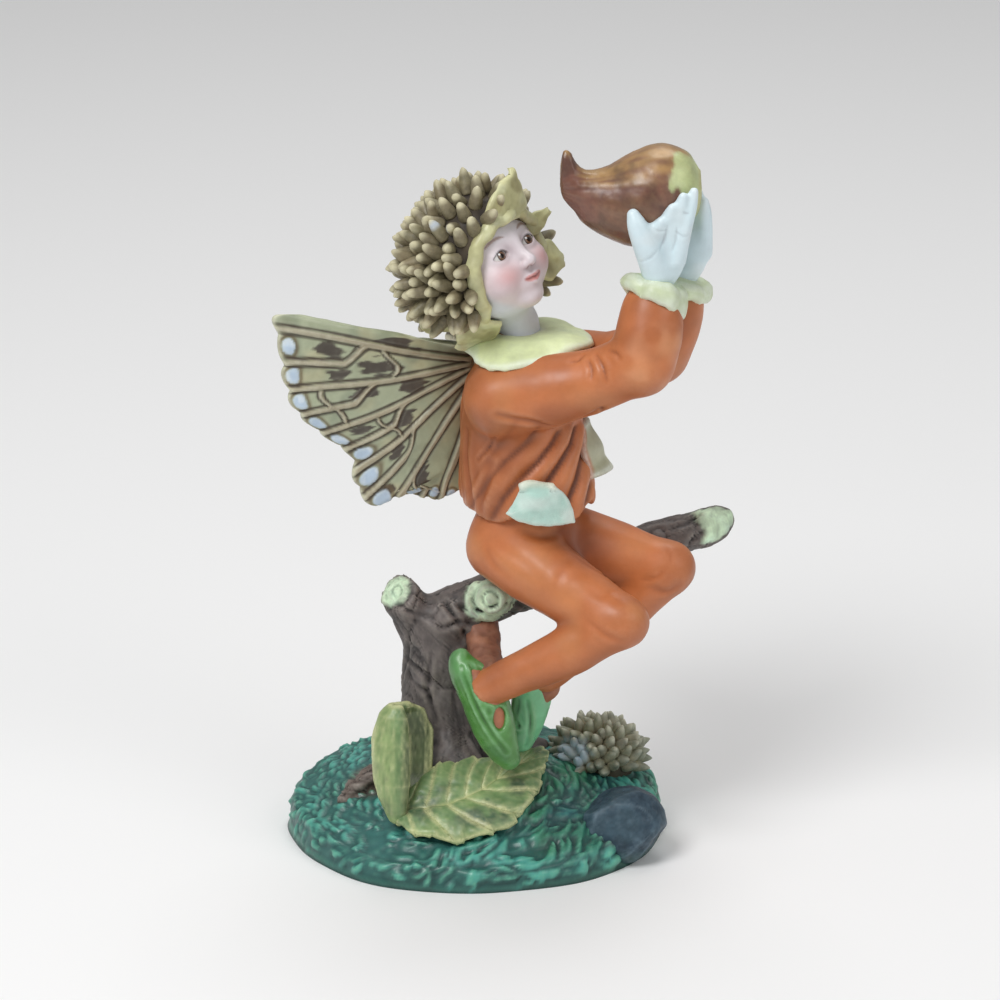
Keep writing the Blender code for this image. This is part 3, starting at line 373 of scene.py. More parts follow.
def stroke(points, normals, path, depth, width, ridge=0.0, taper=0.5):
    """Lift along the normals for one tool stroke: a groove of that depth, with raised banks."""
    path = np.asarray(path, float)
    fine = smooth(path, 5) if len(path) > 2 else path
    reach = 3.2 * width
    low, high = fine.min(0) - reach, fine.max(0) + reach
    near = np.flatnonzero(((points > low) & (points < high)).all(1))
    lift = np.zeros(len(points))
    if not len(near):
        return lift
    p = points[near]
    best = np.full(len(near), 99.0)
    place = np.zeros(len(near))
    for k, (start, end) in enumerate(zip(fine, fine[1:])):
        way = end - start
        t = np.clip((p - start) @ way / max(way @ way, 1e-9), 0, 1)
        gap = np.linalg.norm(p - start - t[:, None] * way, axis=1)
        closer = gap < best
        best[closer] = gap[closer]
        place[closer] = (k + t[closer]) / (len(fine) - 1)
    close = best < max(width, 0.6)
    if close.any():
        facing = unit(normals[near][close].mean(0))
        best[normals[near] @ facing < 0.0] = 99.0
    fade = np.sin(np.pi * np.clip(0.04 + 0.92 * place, 0, 1)) ** taper
    groove = np.exp(-((best / width) ** 2))
    bank = np.exp(-(((best - 1.9 * width) / (0.9 * width)) ** 2))
    lift[near] = fade * (ridge * bank - depth * groove)
    return lift


def apart(points, place, stretch=1.0):
    """Distance of each point from a place, measured in units of the stretch."""
    return np.linalg.norm((points - place) / stretch, axis=1)


def off_axis(points, start, way):
    """Distance of each point from the line through a start along a unit direction."""
    return np.linalg.norm(np.cross(points - start, way), axis=1)


def raised(points, normals, lift):
    """Points moved out along their normals."""
    return points + normals * lift[:, None]


def tooled(points, normals, marks, ridge=0.0, ridge_share=0.0, taper=0.5):
    """Points after tool strokes; each mark is a path in the front camera's picture, a depth and a width."""
    for path, depth, width in marks:
        spots = [touched(points, normals, *spot) for spot in path]
        bank = ridge + ridge_share * depth
        points = raised(points, normals, stroke(points, normals, spots, depth, width, bank, taper))
    return points


def tufts(points, centres, ways, outs, length, width, height):
    """Lift for many short overlapping strands; each is tall in its middle and has a crisp edge."""
    lift = np.zeros(len(points))
    order = np.argsort(points[:, 0])
    line = points[order, 0]
    for centre, way, out, size, wide, tall in zip(centres, ways, outs, length, width, height):
        first, last = np.searchsorted(line, (centre[0] - size, centre[0] + size))
        near = order[first:last]
        offset = points[near] - centre
        u = offset @ way / (0.5 * size)
        side = np.cross(out, way)
        v = (offset @ side + 0.22 * size * (1 - u * u)) / (0.5 * wide)
        inside = (np.abs(u) < 1) & (np.abs(v) < 1) & (np.abs(offset @ out) < 1.4)
        u, v, near = u[inside], v[inside], near[inside]
        taper = np.sqrt(1 - np.abs(u)) * (1 - np.maximum(0, np.abs(v) / (1.02 - u * u * 0.9)) ** 2)
        lift[near] = np.maximum(lift[near], tall * np.clip(taper, 0, 1) * (0.55 + 0.45 * u))
    return lift


def mix(colours, other, mask):
    """Paint another colour over the colours where mask says."""
    mask = np.clip(mask, 0, 1)[:, None]
    return colours * (1 - mask) + np.array(other, float) * mask


def flat_paint(points, colour):
    return np.ones((len(points), 1)) * np.array(colour, float)


# Making the finished pieces

PIECES = []


def piece(name, points, faces, material, paint, reach=0.7, **marks):
    """A finished piece with its paint and its marks of hollows and crests."""
    faces = outward(points, faces)
    mesh = bpy.data.meshes.new(name)
    sizes = np.concatenate([np.full(len(f), f.shape[1]) for f in faces])
    loops = np.concatenate([f.ravel() for f in faces])
    mesh.vertices.add(len(points))
    mesh.vertices.foreach_set("co", (points * MM).ravel())
    mesh.loops.add(len(loops))
    mesh.loops.foreach_set("vertex_index", loops.astype(np.int32))
    mesh.polygons.add(len(sizes))
    mesh.polygons.foreach_set("loop_start", np.concatenate(([0], np.cumsum(sizes)[:-1])).astype(np.int32))
    mesh.update(calc_edges=True)
    mesh.shade_smooth()
    hollow, crest = relief_marks(points, faces, reach)
    marks = dict(marks)
    marks.setdefault("hollow", hollow)
    marks.setdefault("crest", crest)
    for label, values in marks.items():
        layer = mesh.attributes.new(label, "FLOAT", "POINT")
        layer.data.foreach_set("value", np.asarray(values, np.float32))
    layer = mesh.attributes.new("paint", "FLOAT_COLOR", "POINT")
    rgba = np.ones((len(points), 4), np.float32)
    rgba[:, :3] = paint
    layer.data.foreach_set("color", rgba.ravel())
    mesh.materials.append(material)
    made = bpy.data.objects.new(name, mesh)
    bpy.context.scene.collection.objects.link(made)
    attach(made, "root")
    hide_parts("fairy_figurine")
    PIECES.append(made)
    return made


def relief_marks(points, faces, reach):
    """How hollow and how raised each point lies, from 0 to 1, over a reach in millimetres."""
    pairs = edge_pairs(faces)
    count = len(points)
    edge = np.linalg.norm(points[pairs[:, 0]] - points[pairs[:, 1]], axis=1).mean()
    normals = normals_of(points, faces)
    bend = ((neighbour_mean(points, pairs, count) - points) * normals).sum(1) / edge ** 2
    rounds = int(np.clip((reach / edge) ** 2 * 0.5, 1, 24))
    soft = bend
    for _ in range(rounds):
        soft = neighbour_mean(soft, pairs, count)
    value = 0.4 * bend + soft
    return np.clip(value * reach * 1.6, 0, 1), np.clip(-value * reach * 1.6, 0, 1)


# Shader groups that several paints share

def new_group(name, inputs, outputs):
    group = bpy.data.node_groups.new(name, "ShaderNodeTree")
    for label, kind, value in inputs:
        socket = group.interface.new_socket(label, in_out="INPUT", socket_type=kind)
        socket.default_value = value
    for label, kind in outputs:
        group.interface.new_socket(label, in_out="OUTPUT", socket_type=kind)
    nodes = group.nodes
    return group, nodes.new("NodeGroupInput"), nodes.new("NodeGroupOutput")


def node(tree, kind, links=None, **settings):
    """A node with its settings; links gives each input socket a value or another socket."""
    made = tree.nodes.new(kind)
    for label, value in settings.items():
        setattr(made, label, value)
    for key, value in (links or {}).items():
        socket = made.inputs[key]
        if isinstance(value, bpy.types.NodeSocket):
            tree.links.new(value, socket)
        else:
            socket.default_value = value
    return made


def math_node(tree, operation, *values, clamp=False):
    """A Math node on one or two values or sockets."""
    return node(tree, "ShaderNodeMath", dict(enumerate(values)), operation=operation, use_clamp=clamp)


def hand_paint_group():
    """Mottled base paint, dark wash that settles in hollows, and dry brush that catches crests."""
    group, given, result = new_group("hand_paint", (
        ("Paint", "NodeSocketColor", (0.5, 0.5, 0.5, 1)),
        ("Wash", "NodeSocketColor", (0.05, 0.03, 0.02, 1)),
        ("Dry Brush", "NodeSocketColor", (0.8, 0.75, 0.6, 1)),
        ("Wash Amount", "NodeSocketFloat", 0.8),
        ("Brush Amount", "NodeSocketFloat", 0.5),
        ("Mottle", "NodeSocketFloat", 0.25),
        ("Mottle Size", "NodeSocketFloat", 300.0),
        ("Hollow", "NodeSocketFloat", 0.0),
        ("Crest", "NodeSocketFloat", 0.0),
    ), (("Color", "NodeSocketColor"), ("Wash Mask", "NodeSocketFloat"), ("Brush Mask", "NodeSocketFloat")))
    place = node(group, "ShaderNodeTexCoord").outputs["Object"]
    patches = node(group, "ShaderNodeTexNoise", {
        "Vector": place, "Scale": given.outputs["Mottle Size"], "Detail": 5.0, "Roughness": 0.62,
    })
    strokes = node(
        group, "ShaderNodeTexNoise", {"Vector": place, "Scale": 1500.0, "Detail": 3.0, "Roughness": 0.7},
    )
    swing = node(group, "ShaderNodeMapRange", {
        "Value": patches.outputs["Fac"], "From Min": 0.3, "From Max": 0.7, "To Min": -1.0, "To Max": 1.0,
    })
    amount = math_node(group, "MULTIPLY", swing.outputs["Result"], given.outputs["Mottle"])
    gain = math_node(group, "ADD", amount.outputs[0], 1.0)
    mottled = node(group, "ShaderNodeVectorMath", {0: given.outputs["Paint"]}, operation="SCALE")
    group.links.new(gain.outputs[0], mottled.inputs["Scale"])
    # the wash is broken up by the patches, and the dry brush by fine strokes
    settle = math_node(group, "MULTIPLY", given.outputs["Hollow"], patches.outputs["Fac"])
    settle = math_node(group, "MULTIPLY", settle.outputs[0], 2.2)
    settle = math_node(group, "MULTIPLY", settle.outputs[0], given.outputs["Wash Amount"], clamp=True)
    catch = math_node(group, "MULTIPLY", given.outputs["Crest"], strokes.outputs["Fac"])
    catch = math_node(group, "MULTIPLY", catch.outputs[0], 2.0)
    catch = math_node(group, "MULTIPLY", catch.outputs[0], given.outputs["Brush Amount"], clamp=True)
    washed = colour_mix(group, settle.outputs[0], mottled.outputs[0], given.outputs["Wash"])
    brushed = colour_mix(group, catch.outputs[0], washed, given.outputs["Dry Brush"])
    group.links.new(brushed, result.inputs["Color"])
    group.links.new(settle.outputs[0], result.inputs["Wash Mask"])
    group.links.new(catch.outputs[0], result.inputs["Brush Mask"])
    return group


def colour_mix(tree, factor, first, second, mode="MIX"):
    """The output of a colour mix; each argument is a value or a socket."""
    made = tree.nodes.new("ShaderNodeMix")
    made.data_type = "RGBA"
    made.blend_type = mode
    for socket, value in ((made.inputs[0], factor), (made.inputs[6], first), (made.inputs[7], second)):
        if isinstance(value, bpy.types.NodeSocket):
            tree.links.new(value, socket)
        else:
            socket.default_value = value
    return made.outputs[2]


def cast_surface_group():
    """Height and roughness of brushed paint on cast resin: fine grain, brush drag and small pits."""
    group, given, result = new_group("cast_surface", (
        ("Grain", "NodeSocketFloat", 0.3),
        ("Grain Size", "NodeSocketFloat", 2600.0),
        ("Pits", "NodeSocketFloat", 0.2),
        ("Roughness", "NodeSocketFloat", 0.5),
        ("Roughness Swing", "NodeSocketFloat", 0.15),
        ("Wash Mask", "NodeSocketFloat", 0.0),
    ), (("Height", "NodeSocketFloat"), ("Roughness", "NodeSocketFloat")))
    place = node(group, "ShaderNodeTexCoord").outputs["Object"]
    fine = node(group, "ShaderNodeTexNoise", {
        "Vector": place, "Scale": given.outputs["Grain Size"], "Detail": 4.0, "Roughness": 0.6,
    })
    pits = node(group, "ShaderNodeTexVoronoi", {"Vector": place, "Scale": 900.0})
    dent = node(group, "ShaderNodeMapRange", {
        "Value": pits.outputs["Distance"], "From Min": 0.0, "From Max": 0.22, "To Min": -1.0, "To Max": 0.0,
    })
    grainy = math_node(group, "MULTIPLY", fine.outputs["Fac"], given.outputs["Grain"])
    pitted = math_node(group, "MULTIPLY", dent.outputs["Result"], given.outputs["Pits"])
    height = math_node(group, "ADD", grainy.outputs[0], pitted.outputs[0])
    broad = node(group, "ShaderNodeTexNoise", {"Vector": place, "Scale": 420.0, "Detail": 3.0})
    swing = node(group, "ShaderNodeMapRange", {
        "Value": broad.outputs["Fac"], "From Min": 0.3, "From Max": 0.7, "To Min": -1.0, "To Max": 1.0,
    })
    vary = math_node(group, "MULTIPLY", swing.outputs["Result"], given.outputs["Roughness Swing"])
    rough = math_node(group, "ADD", vary.outputs[0], given.outputs["Roughness"])
    dull = math_node(group, "MULTIPLY", given.outputs["Wash Mask"], 0.18)
    rough = math_node(group, "ADD", rough.outputs[0], dull.outputs[0], clamp=True)
    group.links.new(height.outputs[0], result.inputs["Height"])
    group.links.new(rough.outputs[0], result.inputs["Roughness"])
    return group


HAND_PAINT = hand_paint_group()
CAST_SURFACE = cast_surface_group()


def painted(name, wash, brush, wash_amount=0.8, brush_amount=0.4, mottle=0.2, mottle_size=300.0,
            roughness=0.5, swing=0.12, grain_amount=0.3, grain_size=2600.0, pits=0.15, bump=0.25,
            coat=0.0, streaks=None):
    """A painted finish that reads the piece's own paint, hollows and crests."""
    made = bpy.data.materials.new(name)
    made.use_nodes = True
    tree = made.node_tree
    shader = tree.nodes["Principled BSDF"]
    paint = node(tree, "ShaderNodeAttribute", attribute_name="paint").outputs["Color"]
    hollow = node(tree, "ShaderNodeAttribute", attribute_name="hollow").outputs["Fac"]
    crest = node(tree, "ShaderNodeAttribute", attribute_name="crest").outputs["Fac"]
    if streaks:
        # streaks are fine noise drawn out along one direction of the object
        way, stretch, size, amount = streaks
        place = node(tree, "ShaderNodeTexCoord").outputs["Object"]
        turned = node(tree, "ShaderNodeMapping", {"Vector": place, "Rotation": way, "Scale": stretch})
        drawn = node(tree, "ShaderNodeTexNoise", {
            "Vector": turned.outputs["Vector"], "Scale": size, "Detail": 4.0, "Roughness": 0.6,
            "Distortion": 0.4,
        })
        tone = node(tree, "ShaderNodeMapRange", {
            "Value": drawn.outputs["Fac"], "From Min": 0.3, "From Max": 0.7,
            "To Min": 1.0 - amount, "To Max": 1.0 + amount,
        })
        scaled = node(tree, "ShaderNodeVectorMath", {0: paint}, operation="SCALE")
        tree.links.new(tone.outputs["Result"], scaled.inputs["Scale"])
        paint = scaled.outputs[0]
    colour = node(tree, "ShaderNodeGroup", node_tree=HAND_PAINT)
    surface = node(tree, "ShaderNodeGroup", node_tree=CAST_SURFACE)
    for label, value in (
        ("Wash", (*wash, 1)), ("Dry Brush", (*brush, 1)), ("Wash Amount", wash_amount),
        ("Brush Amount", brush_amount), ("Mottle", mottle), ("Mottle Size", mottle_size),
    ):
        colour.inputs[label].default_value = value
    for label, value in (
        ("Grain", grain_amount), ("Grain Size", grain_size), ("Pits", pits),
        ("Roughness", roughness), ("Roughness Swing", swing),
    ):
        surface.inputs[label].default_value = value
    tree.links.new(paint, colour.inputs["Paint"])
    tree.links.new(hollow, colour.inputs["Hollow"])
    tree.links.new(crest, colour.inputs["Crest"])
    tree.links.new(colour.outputs["Wash Mask"], surface.inputs["Wash Mask"])
    relief = node(tree, "ShaderNodeBump", {
        "Strength": bump, "Distance": 0.12 * MM, "Height": surface.outputs["Height"],
    })
    tree.links.new(colour.outputs["Color"], shader.inputs["Base Color"])
    tree.links.new(surface.outputs["Roughness"], shader.inputs["Roughness"])
    tree.links.new(relief.outputs["Normal"], shader.inputs["Normal"])
    shader.inputs["Coat Weight"].default_value = coat
    shader.inputs["Coat Roughness"].default_value = 0.25
    return made


# Sizes and places of the casting, in millimetres and degrees

BASE_WIDTH, BASE_DEPTH = 51.4, 41.6
RIM_HEIGHT, RIM_TILT, MOUND_HEIGHT = 5.4, 3.0, 11.6
TRUNK = at(-4.6, 2.0, 0.0)
FORK = TRUNK + UP * 29.5
BRANCH_START = FORK + at(0.8, -1.0, 2.6)
BRANCH_AXIS = heading(14.5, 14.0)
BRANCH_LENGTH = 41.0
SEAT = BRANCH_START + BRANCH_AXIS * 11.0
BODY_YAW = -30.0
BODY_FORWARD = heading(BODY_YAW)
BODY_LEFT = heading(BODY_YAW + 90.0)
PELVIS = SEAT + UP * 8.0 - BODY_LEFT * 3.8
NECK = PELVIS + UP * 27.8 + at(0.6, 0.0, 0.0)
HEAD = NECK + at(-4.2, -1.0, 11.8)
HEAD_DEPTH, HEAD_HALF_WIDTH, HEAD_HALF_HEIGHT = 8.1, 7.3, 8.9


def head_axes(yaw=-46.0, pitch=27.0, roll=12.0):
    forward = heading(yaw, pitch)
    level_left = heading(yaw + 90.0)
    level_up = np.cross(forward, level_left)
    roll = math.radians(roll)
    left = level_left * math.cos(roll) + level_up * math.sin(roll)
    return forward, left, np.cross(forward, left)


FACE, HEAD_LEFT, CROWN = head_axes()


def base_outline(angle):
    wobble = 1 + 0.018 * np.sin(3 * angle + 0.6) + 0.014 * np.sin(5 * angle - 1.0)
    return np.stack(
        (0.5 * BASE_WIDTH * np.cos(angle) * wobble, 0.5 * BASE_DEPTH * np.sin(angle) * wobble), -1,
    )


def ground(x, y):
    """Height of the mound at a place on it."""
    angle = np.arctan2(np.asarray(y) / BASE_DEPTH, np.asarray(x) / BASE_WIDTH)
    reach = np.linalg.norm(base_outline(angle), axis=-1)
    share = np.minimum(1.0, np.hypot(x, y) / reach)
    rim = RIM_HEIGHT + RIM_TILT * np.sin(angle)
    return rim + (MOUND_HEIGHT - rim) * (1 - share ** 2) ** 1.2


def chance(seed):
    return np.random.default_rng(seed)


# Mound and grass

GRASS = painted(
    "grass_paint", (0.004, 0.026, 0.028), (0.15, 0.46, 0.32), wash_amount=1.0, brush_amount=0.85,
    mottle=0.22, mottle_size=260.0, roughness=0.42, grain_amount=0.5, bump=0.3, coat=0.15,
)


def make_mound():
    around, wall, top = 400, 13, 90
    angle = 2 * np.pi * np.arange(around) / around
    edge = base_outline(angle) * (
        0.990 + 0.006 * np.sin(5 * angle + 1.0) + 0.004 * np.sin(11 * angle)
    )[:, None]
    edge[:, 0] *= np.where(edge[:, 0] < 0, 1.045, 1.0)
    shoulder = 0.92
    height_at_shoulder = ground(*(edge * shoulder).T)
    rings = []
    for t in np.linspace(0.0, 1.0, wall):
        lean = shoulder + (1 - shoulder) * math.cos(t * math.pi / 2)
        tuck = 1 - 0.008 * (1 - t) ** 3
        rings.append(
            np.column_stack((edge * lean * tuck, height_at_shoulder * math.sin(t * math.pi / 2) ** 0.9))
        )
    for share in np.linspace(shoulder, 0.015, top)[1:]:
        flat = edge * share
        rings.append(np.column_stack((flat, ground(*flat.T))))
    points, faces = loft(rings, at(0, 0, 0), at(0, 0, MOUND_HEIGHT))
    faces = outward(points, faces)
    normals = normals_of(points, faces)
    pick = chance(3)
    count = 1900
    spot = pick.integers(around * 2, around * (wall + top - 14), count)
    # even out the choice, as the rings crowd together near the middle
    keep = pick.random(count) < np.clip(np.hypot(*points[spot, :2].T) / 20.0, 0.25, 1.0)
    spot = spot[keep]
    centres, outs = points[spot], normals[spot]
    round_way = unit(np.cross(UP, centres * (1, 1.2, 0)))
    swirl = np.radians(24 + 50 * grain(centres, 9.0, 4) + 60 * grain(centres, 2.5, 5))
    side = unit(np.cross(outs, round_way))
    ways = round_way * np.cos(swirl)[:, None] + side * np.sin(swirl)[:, None]
    ways = unit(ways - outs * (ways * outs).sum(1)[:, None])
    bold = step_up(0, 10, centres[:, 0] - 0.6 * centres[:, 1])
    length = pick.uniform(1.8, 5.6, len(spot)) * (0.7 + 0.4 * bold)
    width = pick.uniform(0.7, 1.9, len(spot)) * (0.75 + 0.3 * bold)
    height = pick.uniform(0.40, 1.15, len(spot)) * (0.75 + 0.25 * bold)
    lift = tufts(points, centres, ways, outs, length, width, height)
    lift += 0.26 * grain(points, 3.2, 8) + 0.10 * grain(points, 0.9, 9) - 0.45
    low_fade = step_up(0.15, 1.2, points[:, 2])
    points = raised(points, normals, lift * low_fade)
    points[:, 2] = np.maximum(points[:, 2], 0.0)
    patch = layered_grain(points, 6.5, 3, 11)
    paint = flat_paint(points, (0.022, 0.150, 0.100))
    paint = mix(paint, (0.014, 0.115, 0.130), step_up(-0.1, 0.6, patch))
    paint = mix(paint, (0.035, 0.205, 0.100), step_up(0.1, 0.7, grain(points, 5.0, 21)) * 0.8)
    paint = mix(
        paint, (0.085, 0.43, 0.37),
        step_up(-0.2, 0.5, grain(points, (6, 6, 3), 31) + 0.9 * step_up(-4, 16, -points[:, 0])) * 0.75,
    )
    paint = mix(paint, (0.012, 0.050, 0.050), step_up(0.05, -0.30, lift) * 0.75)
    paint = mix(paint, (0.12, 0.42, 0.28), step_up(0.25, 0.60, lift) * 0.5)
    paint = mix(paint, (0.015, 0.070, 0.060), step_up(1.6, 0.2, points[:, 2]) * 0.7)
    paint = mix(paint, (0.12, 0.085, 0.065), step_up(5.0, 2.6, apart(points, at(-14.5, -2.0, 9.0))))
    paint = mix(
        paint, (0.10, 0.12, 0.13),
        step_up(4.4, 2.8, apart(points, at(20.0, -9.0, 4.6), (1.35, 1.2, 1.0)) + 0.5 * patch),
    )
    crest = relief_marks(points, faces, 0.55)[1] * step_up(0.3, 1.6, points[:, 2])
    piece("grass_mound", points, faces, GRASS, paint, reach=0.55, crest=crest)


STONE = painted(
    "stone_paint", (0.008, 0.016, 0.022), (0.13, 0.20, 0.25), wash_amount=0.8, brush_amount=0.7,
    mottle=0.3, mottle_size=420.0, roughness=0.55, grain_amount=0.6, pits=0.4, bump=0.5,
)


def make_boulder():
    columns, rows = 120, 80
    centre = at(19.7, -8.2, 4.7)
    axes = np.array((heading(20), heading(110), UP))
    radii = np.array((5.7, 5.5, 5.2))
    u, v = np.meshgrid(2 * np.pi * np.arange(columns) / columns, np.linspace(0.02, np.pi - 0.02, rows))
    way = np.stack((np.sin(v) * np.cos(u), np.sin(v) * np.sin(u), -np.cos(v)), -1)
    pick = chance(17)
    planes = unit(pick.normal(size=(15, 3)))
    depth = pick.uniform(0.86, 1.0, 15)
    push = np.clip(way @ planes.T / depth, 0.0, None) ** 16
    reach = push.sum(-1) ** (-1 / 16)
    reach = np.minimum(reach, 1.04)[..., None]
    rings = centre + (way * reach * radii) @ axes
    rings = rings.reshape(-1, 3)
    rings += unit(rings - centre) * (0.13 * layered_grain(rings, 1.6, 3, 40))[:, None]
    points, faces = loft(
        rings.reshape(rows, columns, 3), centre - UP * radii[2], centre + UP * radii[2] * 0.97,
    )
    points[:, 2] = np.maximum(points[:, 2], 0.0)
    paint = flat_paint(points, (0.017, 0.042, 0.066))
    paint = mix(paint, (0.032, 0.068, 0.094), step_up(-0.1, 0.6, layered_grain(points, 3.4, 3, 43)))
    paint = mix(paint, (0.035, 0.10, 0.09), step_up(3.4, 1.2, points[:, 2]) * 0.7)
    piece("boulder", points, faces, STONE, paint, reach=0.6)


# Spines, placed by a geometry tree on the points of a carrier mesh

def spine_tree():
    tree = bpy.data.node_groups.new("blunt_spines", "GeometryNodeTree")
    sockets = {}
    for label, kind, value in (
        ("Geometry", "NodeSocketGeometry", None), ("Length", "NodeSocketFloat", 3.6 * MM),
        ("Radius", "NodeSocketFloat", 0.9 * MM), ("Tip Share", "NodeSocketFloat", 0.34),
        ("Swell", "NodeSocketFloat", 0.30), ("Length Spread", "NodeSocketFloat", 0.16),
        ("Lean", "NodeSocketFloat", 0.22), ("Seed", "NodeSocketInt", 1),
        ("Material", "NodeSocketMaterial", None),
    ):
        socket = tree.interface.new_socket(label, in_out="INPUT", socket_type=kind)
        if value is not None:
            socket.default_value = value
        sockets[label] = socket.identifier
    tree.interface.new_socket("Geometry", in_out="OUTPUT", socket_type="NodeSocketGeometry")
    given, result = tree.nodes.new("NodeGroupInput"), tree.nodes.new("NodeGroupOutput")
    out = given.outputs
    tip = math_node(tree, "MULTIPLY", out["Radius"], out["Tip Share"])
    cone = node(tree, "GeometryNodeMeshCone", {
        "Vertices": 11, "Side Segments": 12, "Fill Segments": 1,
        "Radius Top": tip.outputs[0], "Radius Bottom": out["Radius"], "Depth": out["Length"],
    })
    # the side swells between root and tip, and the tip is rounded off
    place = node(tree, "GeometryNodeInputPosition").outputs[0]
    parts = node(tree, "ShaderNodeSeparateXYZ", {0: place})
    share = math_node(tree, "DIVIDE", parts.outputs["Z"], out["Length"])
    arc = math_node(tree, "MULTIPLY", share.outputs[0], math.pi)
    arc = math_node(tree, "SINE", arc.outputs[0])
    arc = math_node(tree, "MULTIPLY", arc.outputs[0], out["Swell"])
    wide = math_node(tree, "ADD", arc.outputs[0], 1.0)
    end = math_node(tree, "SUBTRACT", share.outputs[0], 0.78)
    end = math_node(tree, "MAXIMUM", end.outputs[0], 0.0)
    end = math_node(tree, "MULTIPLY", end.outputs[0], 4.3)
    end = math_node(tree, "POWER", end.outputs[0], 2.0)
    round_off = math_node(tree, "SUBTRACT", 1.0, end.outputs[0])
    round_off = math_node(tree, "SQRT", round_off.outputs[0])
    wide = math_node(tree, "MULTIPLY", wide.outputs[0], round_off.outputs[0])
    factors = node(tree, "ShaderNodeCombineXYZ", {"X": wide.outputs[0], "Y": wide.outputs[0], "Z": 1.0})
    swollen = node(tree, "ShaderNodeVectorMath", {0: place, 1: factors.outputs[0]}, operation="MULTIPLY")
    spine = node(
        tree, "GeometryNodeSetPosition", {"Geometry": cone.outputs["Mesh"], "Position": swollen.outputs[0]},
    )
    spine = node(tree, "GeometryNodeStoreNamedAttribute", {
        "Geometry": spine.outputs[0], "Name": "along", "Value": share.outputs[0],
    }, data_type="FLOAT", domain="POINT")
    points = node(tree, "GeometryNodeMeshToPoints", {"Mesh": out["Geometry"]})
    aim = node(tree, "GeometryNodeInputNamedAttribute", {"Name": "aim"}, data_type="FLOAT_VECTOR").outputs[0]
    spread = node(tree, "ShaderNodeVectorMath", {0: (1.0, 1.0, 1.0)}, operation="SCALE")
    tree.links.new(out["Lean"], spread.inputs["Scale"])
    low = node(tree, "ShaderNodeVectorMath", {0: spread.outputs[0]}, operation="SCALE")
    low.inputs["Scale"].default_value = -1.0
    sway = node(tree, "FunctionNodeRandomValue", {
        "Min": low.outputs[0], "Max": spread.outputs[0], "Seed": out["Seed"],
    }, data_type="FLOAT_VECTOR").outputs[0]
    leaning = node(tree, "ShaderNodeVectorMath", {0: aim, 1: sway}, operation="ADD")
    turn = node(tree, "FunctionNodeAlignRotationToVector", {"Vector": leaning.outputs[0]}, axis="Z")
    least = math_node(tree, "SUBTRACT", 1.0, out["Length Spread"])
    most = math_node(tree, "ADD", 1.0, out["Length Spread"])
    sizes = node(
        tree, "FunctionNodeRandomValue", {2: least.outputs[0], 3: most.outputs[0], "Seed": out["Seed"]},
        data_type="FLOAT",
    )
    scale = node(tree, "ShaderNodeCombineXYZ", {"X": 1.0, "Y": 1.0, "Z": sizes.outputs[1]})
    set_out = node(tree, "GeometryNodeInstanceOnPoints", {
        "Points": points.outputs[0], "Instance": spine.outputs[0],
        "Rotation": turn.outputs[0], "Scale": scale.outputs[0],
    })
    tone = node(tree, "FunctionNodeRandomValue", {"Seed": 9}, data_type="FLOAT")
    toned = node(tree, "GeometryNodeStoreNamedAttribute", {
        "Geometry": set_out.outputs[0], "Name": "tone", "Value": tone.outputs[1],
    }, data_type="FLOAT", domain="INSTANCE")
    real = node(tree, "GeometryNodeRealizeInstances", {"Geometry": toned.outputs[0]})
    dressed = node(
        tree, "GeometryNodeSetMaterial", {"Geometry": real.outputs[0], "Material": out["Material"]},
    )
    tree.links.new(dressed.outputs[0], result.inputs[0])
    return tree, sockets


def grow_spines(roots, aims, **sizes):
    """Points, faces, place along its spine and tone of every spine, read from the evaluated tree."""
    mesh = bpy.data.meshes.new("spine_roots")
    mesh.from_pydata((roots * MM).tolist(), [], [])
    layer = mesh.attributes.new("aim", "FLOAT_VECTOR", "POINT")
    layer.data.foreach_set("vector", aims.astype(np.float32).ravel())
    carrier = bpy.data.objects.new("spine_roots", mesh)
    bpy.context.scene.collection.objects.link(carrier)
    tree, sockets = SPINE_TREE
    grower = carrier.modifiers.new("spines", "NODES")
    grower.node_group = tree
    for label, value in sizes.items():
        grower[sockets[label.replace("_", " ").title()]] = value
    seen = carrier.evaluated_get(bpy.context.evaluated_depsgraph_get())
    plain = bpy.data.meshes.new_from_object(seen)
    count = len(plain.vertices)
    points = np.empty(count * 3)
    plain.vertices.foreach_get("co", points)
    along, tone = np.empty(count, np.float32), np.empty(count, np.float32)
    plain.attributes["along"].data.foreach_get("value", along)
    plain.attributes["tone"].data.foreach_get("value", tone)
    faces = {}
    for polygon in plain.polygons:
        corners = tuple(polygon.vertices)
        if len(corners) > 4:
            for k in range(1, len(corners) - 1):
                faces.setdefault(3, []).append((corners[0], corners[k], corners[k + 1]))
        else:
            faces.setdefault(len(corners), []).append(corners)
    carrier.modifiers.remove(grower)
    bpy.data.objects.remove(carrier)
    bpy.data.meshes.remove(plain)
    bpy.data.meshes.remove(mesh)
    return points.reshape(-1, 3) / MM, [np.array(f) for f in faces.values()], along, tone


SPINE_TREE = spine_tree()
SPINE_PAINT = painted(
    "spine_paint", (0.020, 0.013, 0.008), (0.62, 0.54, 0.33), wash_amount=0.9, brush_amount=0.45,
    mottle=0.28, mottle_size=500.0, roughness=0.5, grain_amount=0.6, bump=0.45,
)
SHELL_PAINT = painted(
    "burr_shell_paint", (0.010, 0.006, 0.004), (0.20, 0.15, 0.08), mottle=0.3, roughness=0.65, bump=0.5,
)


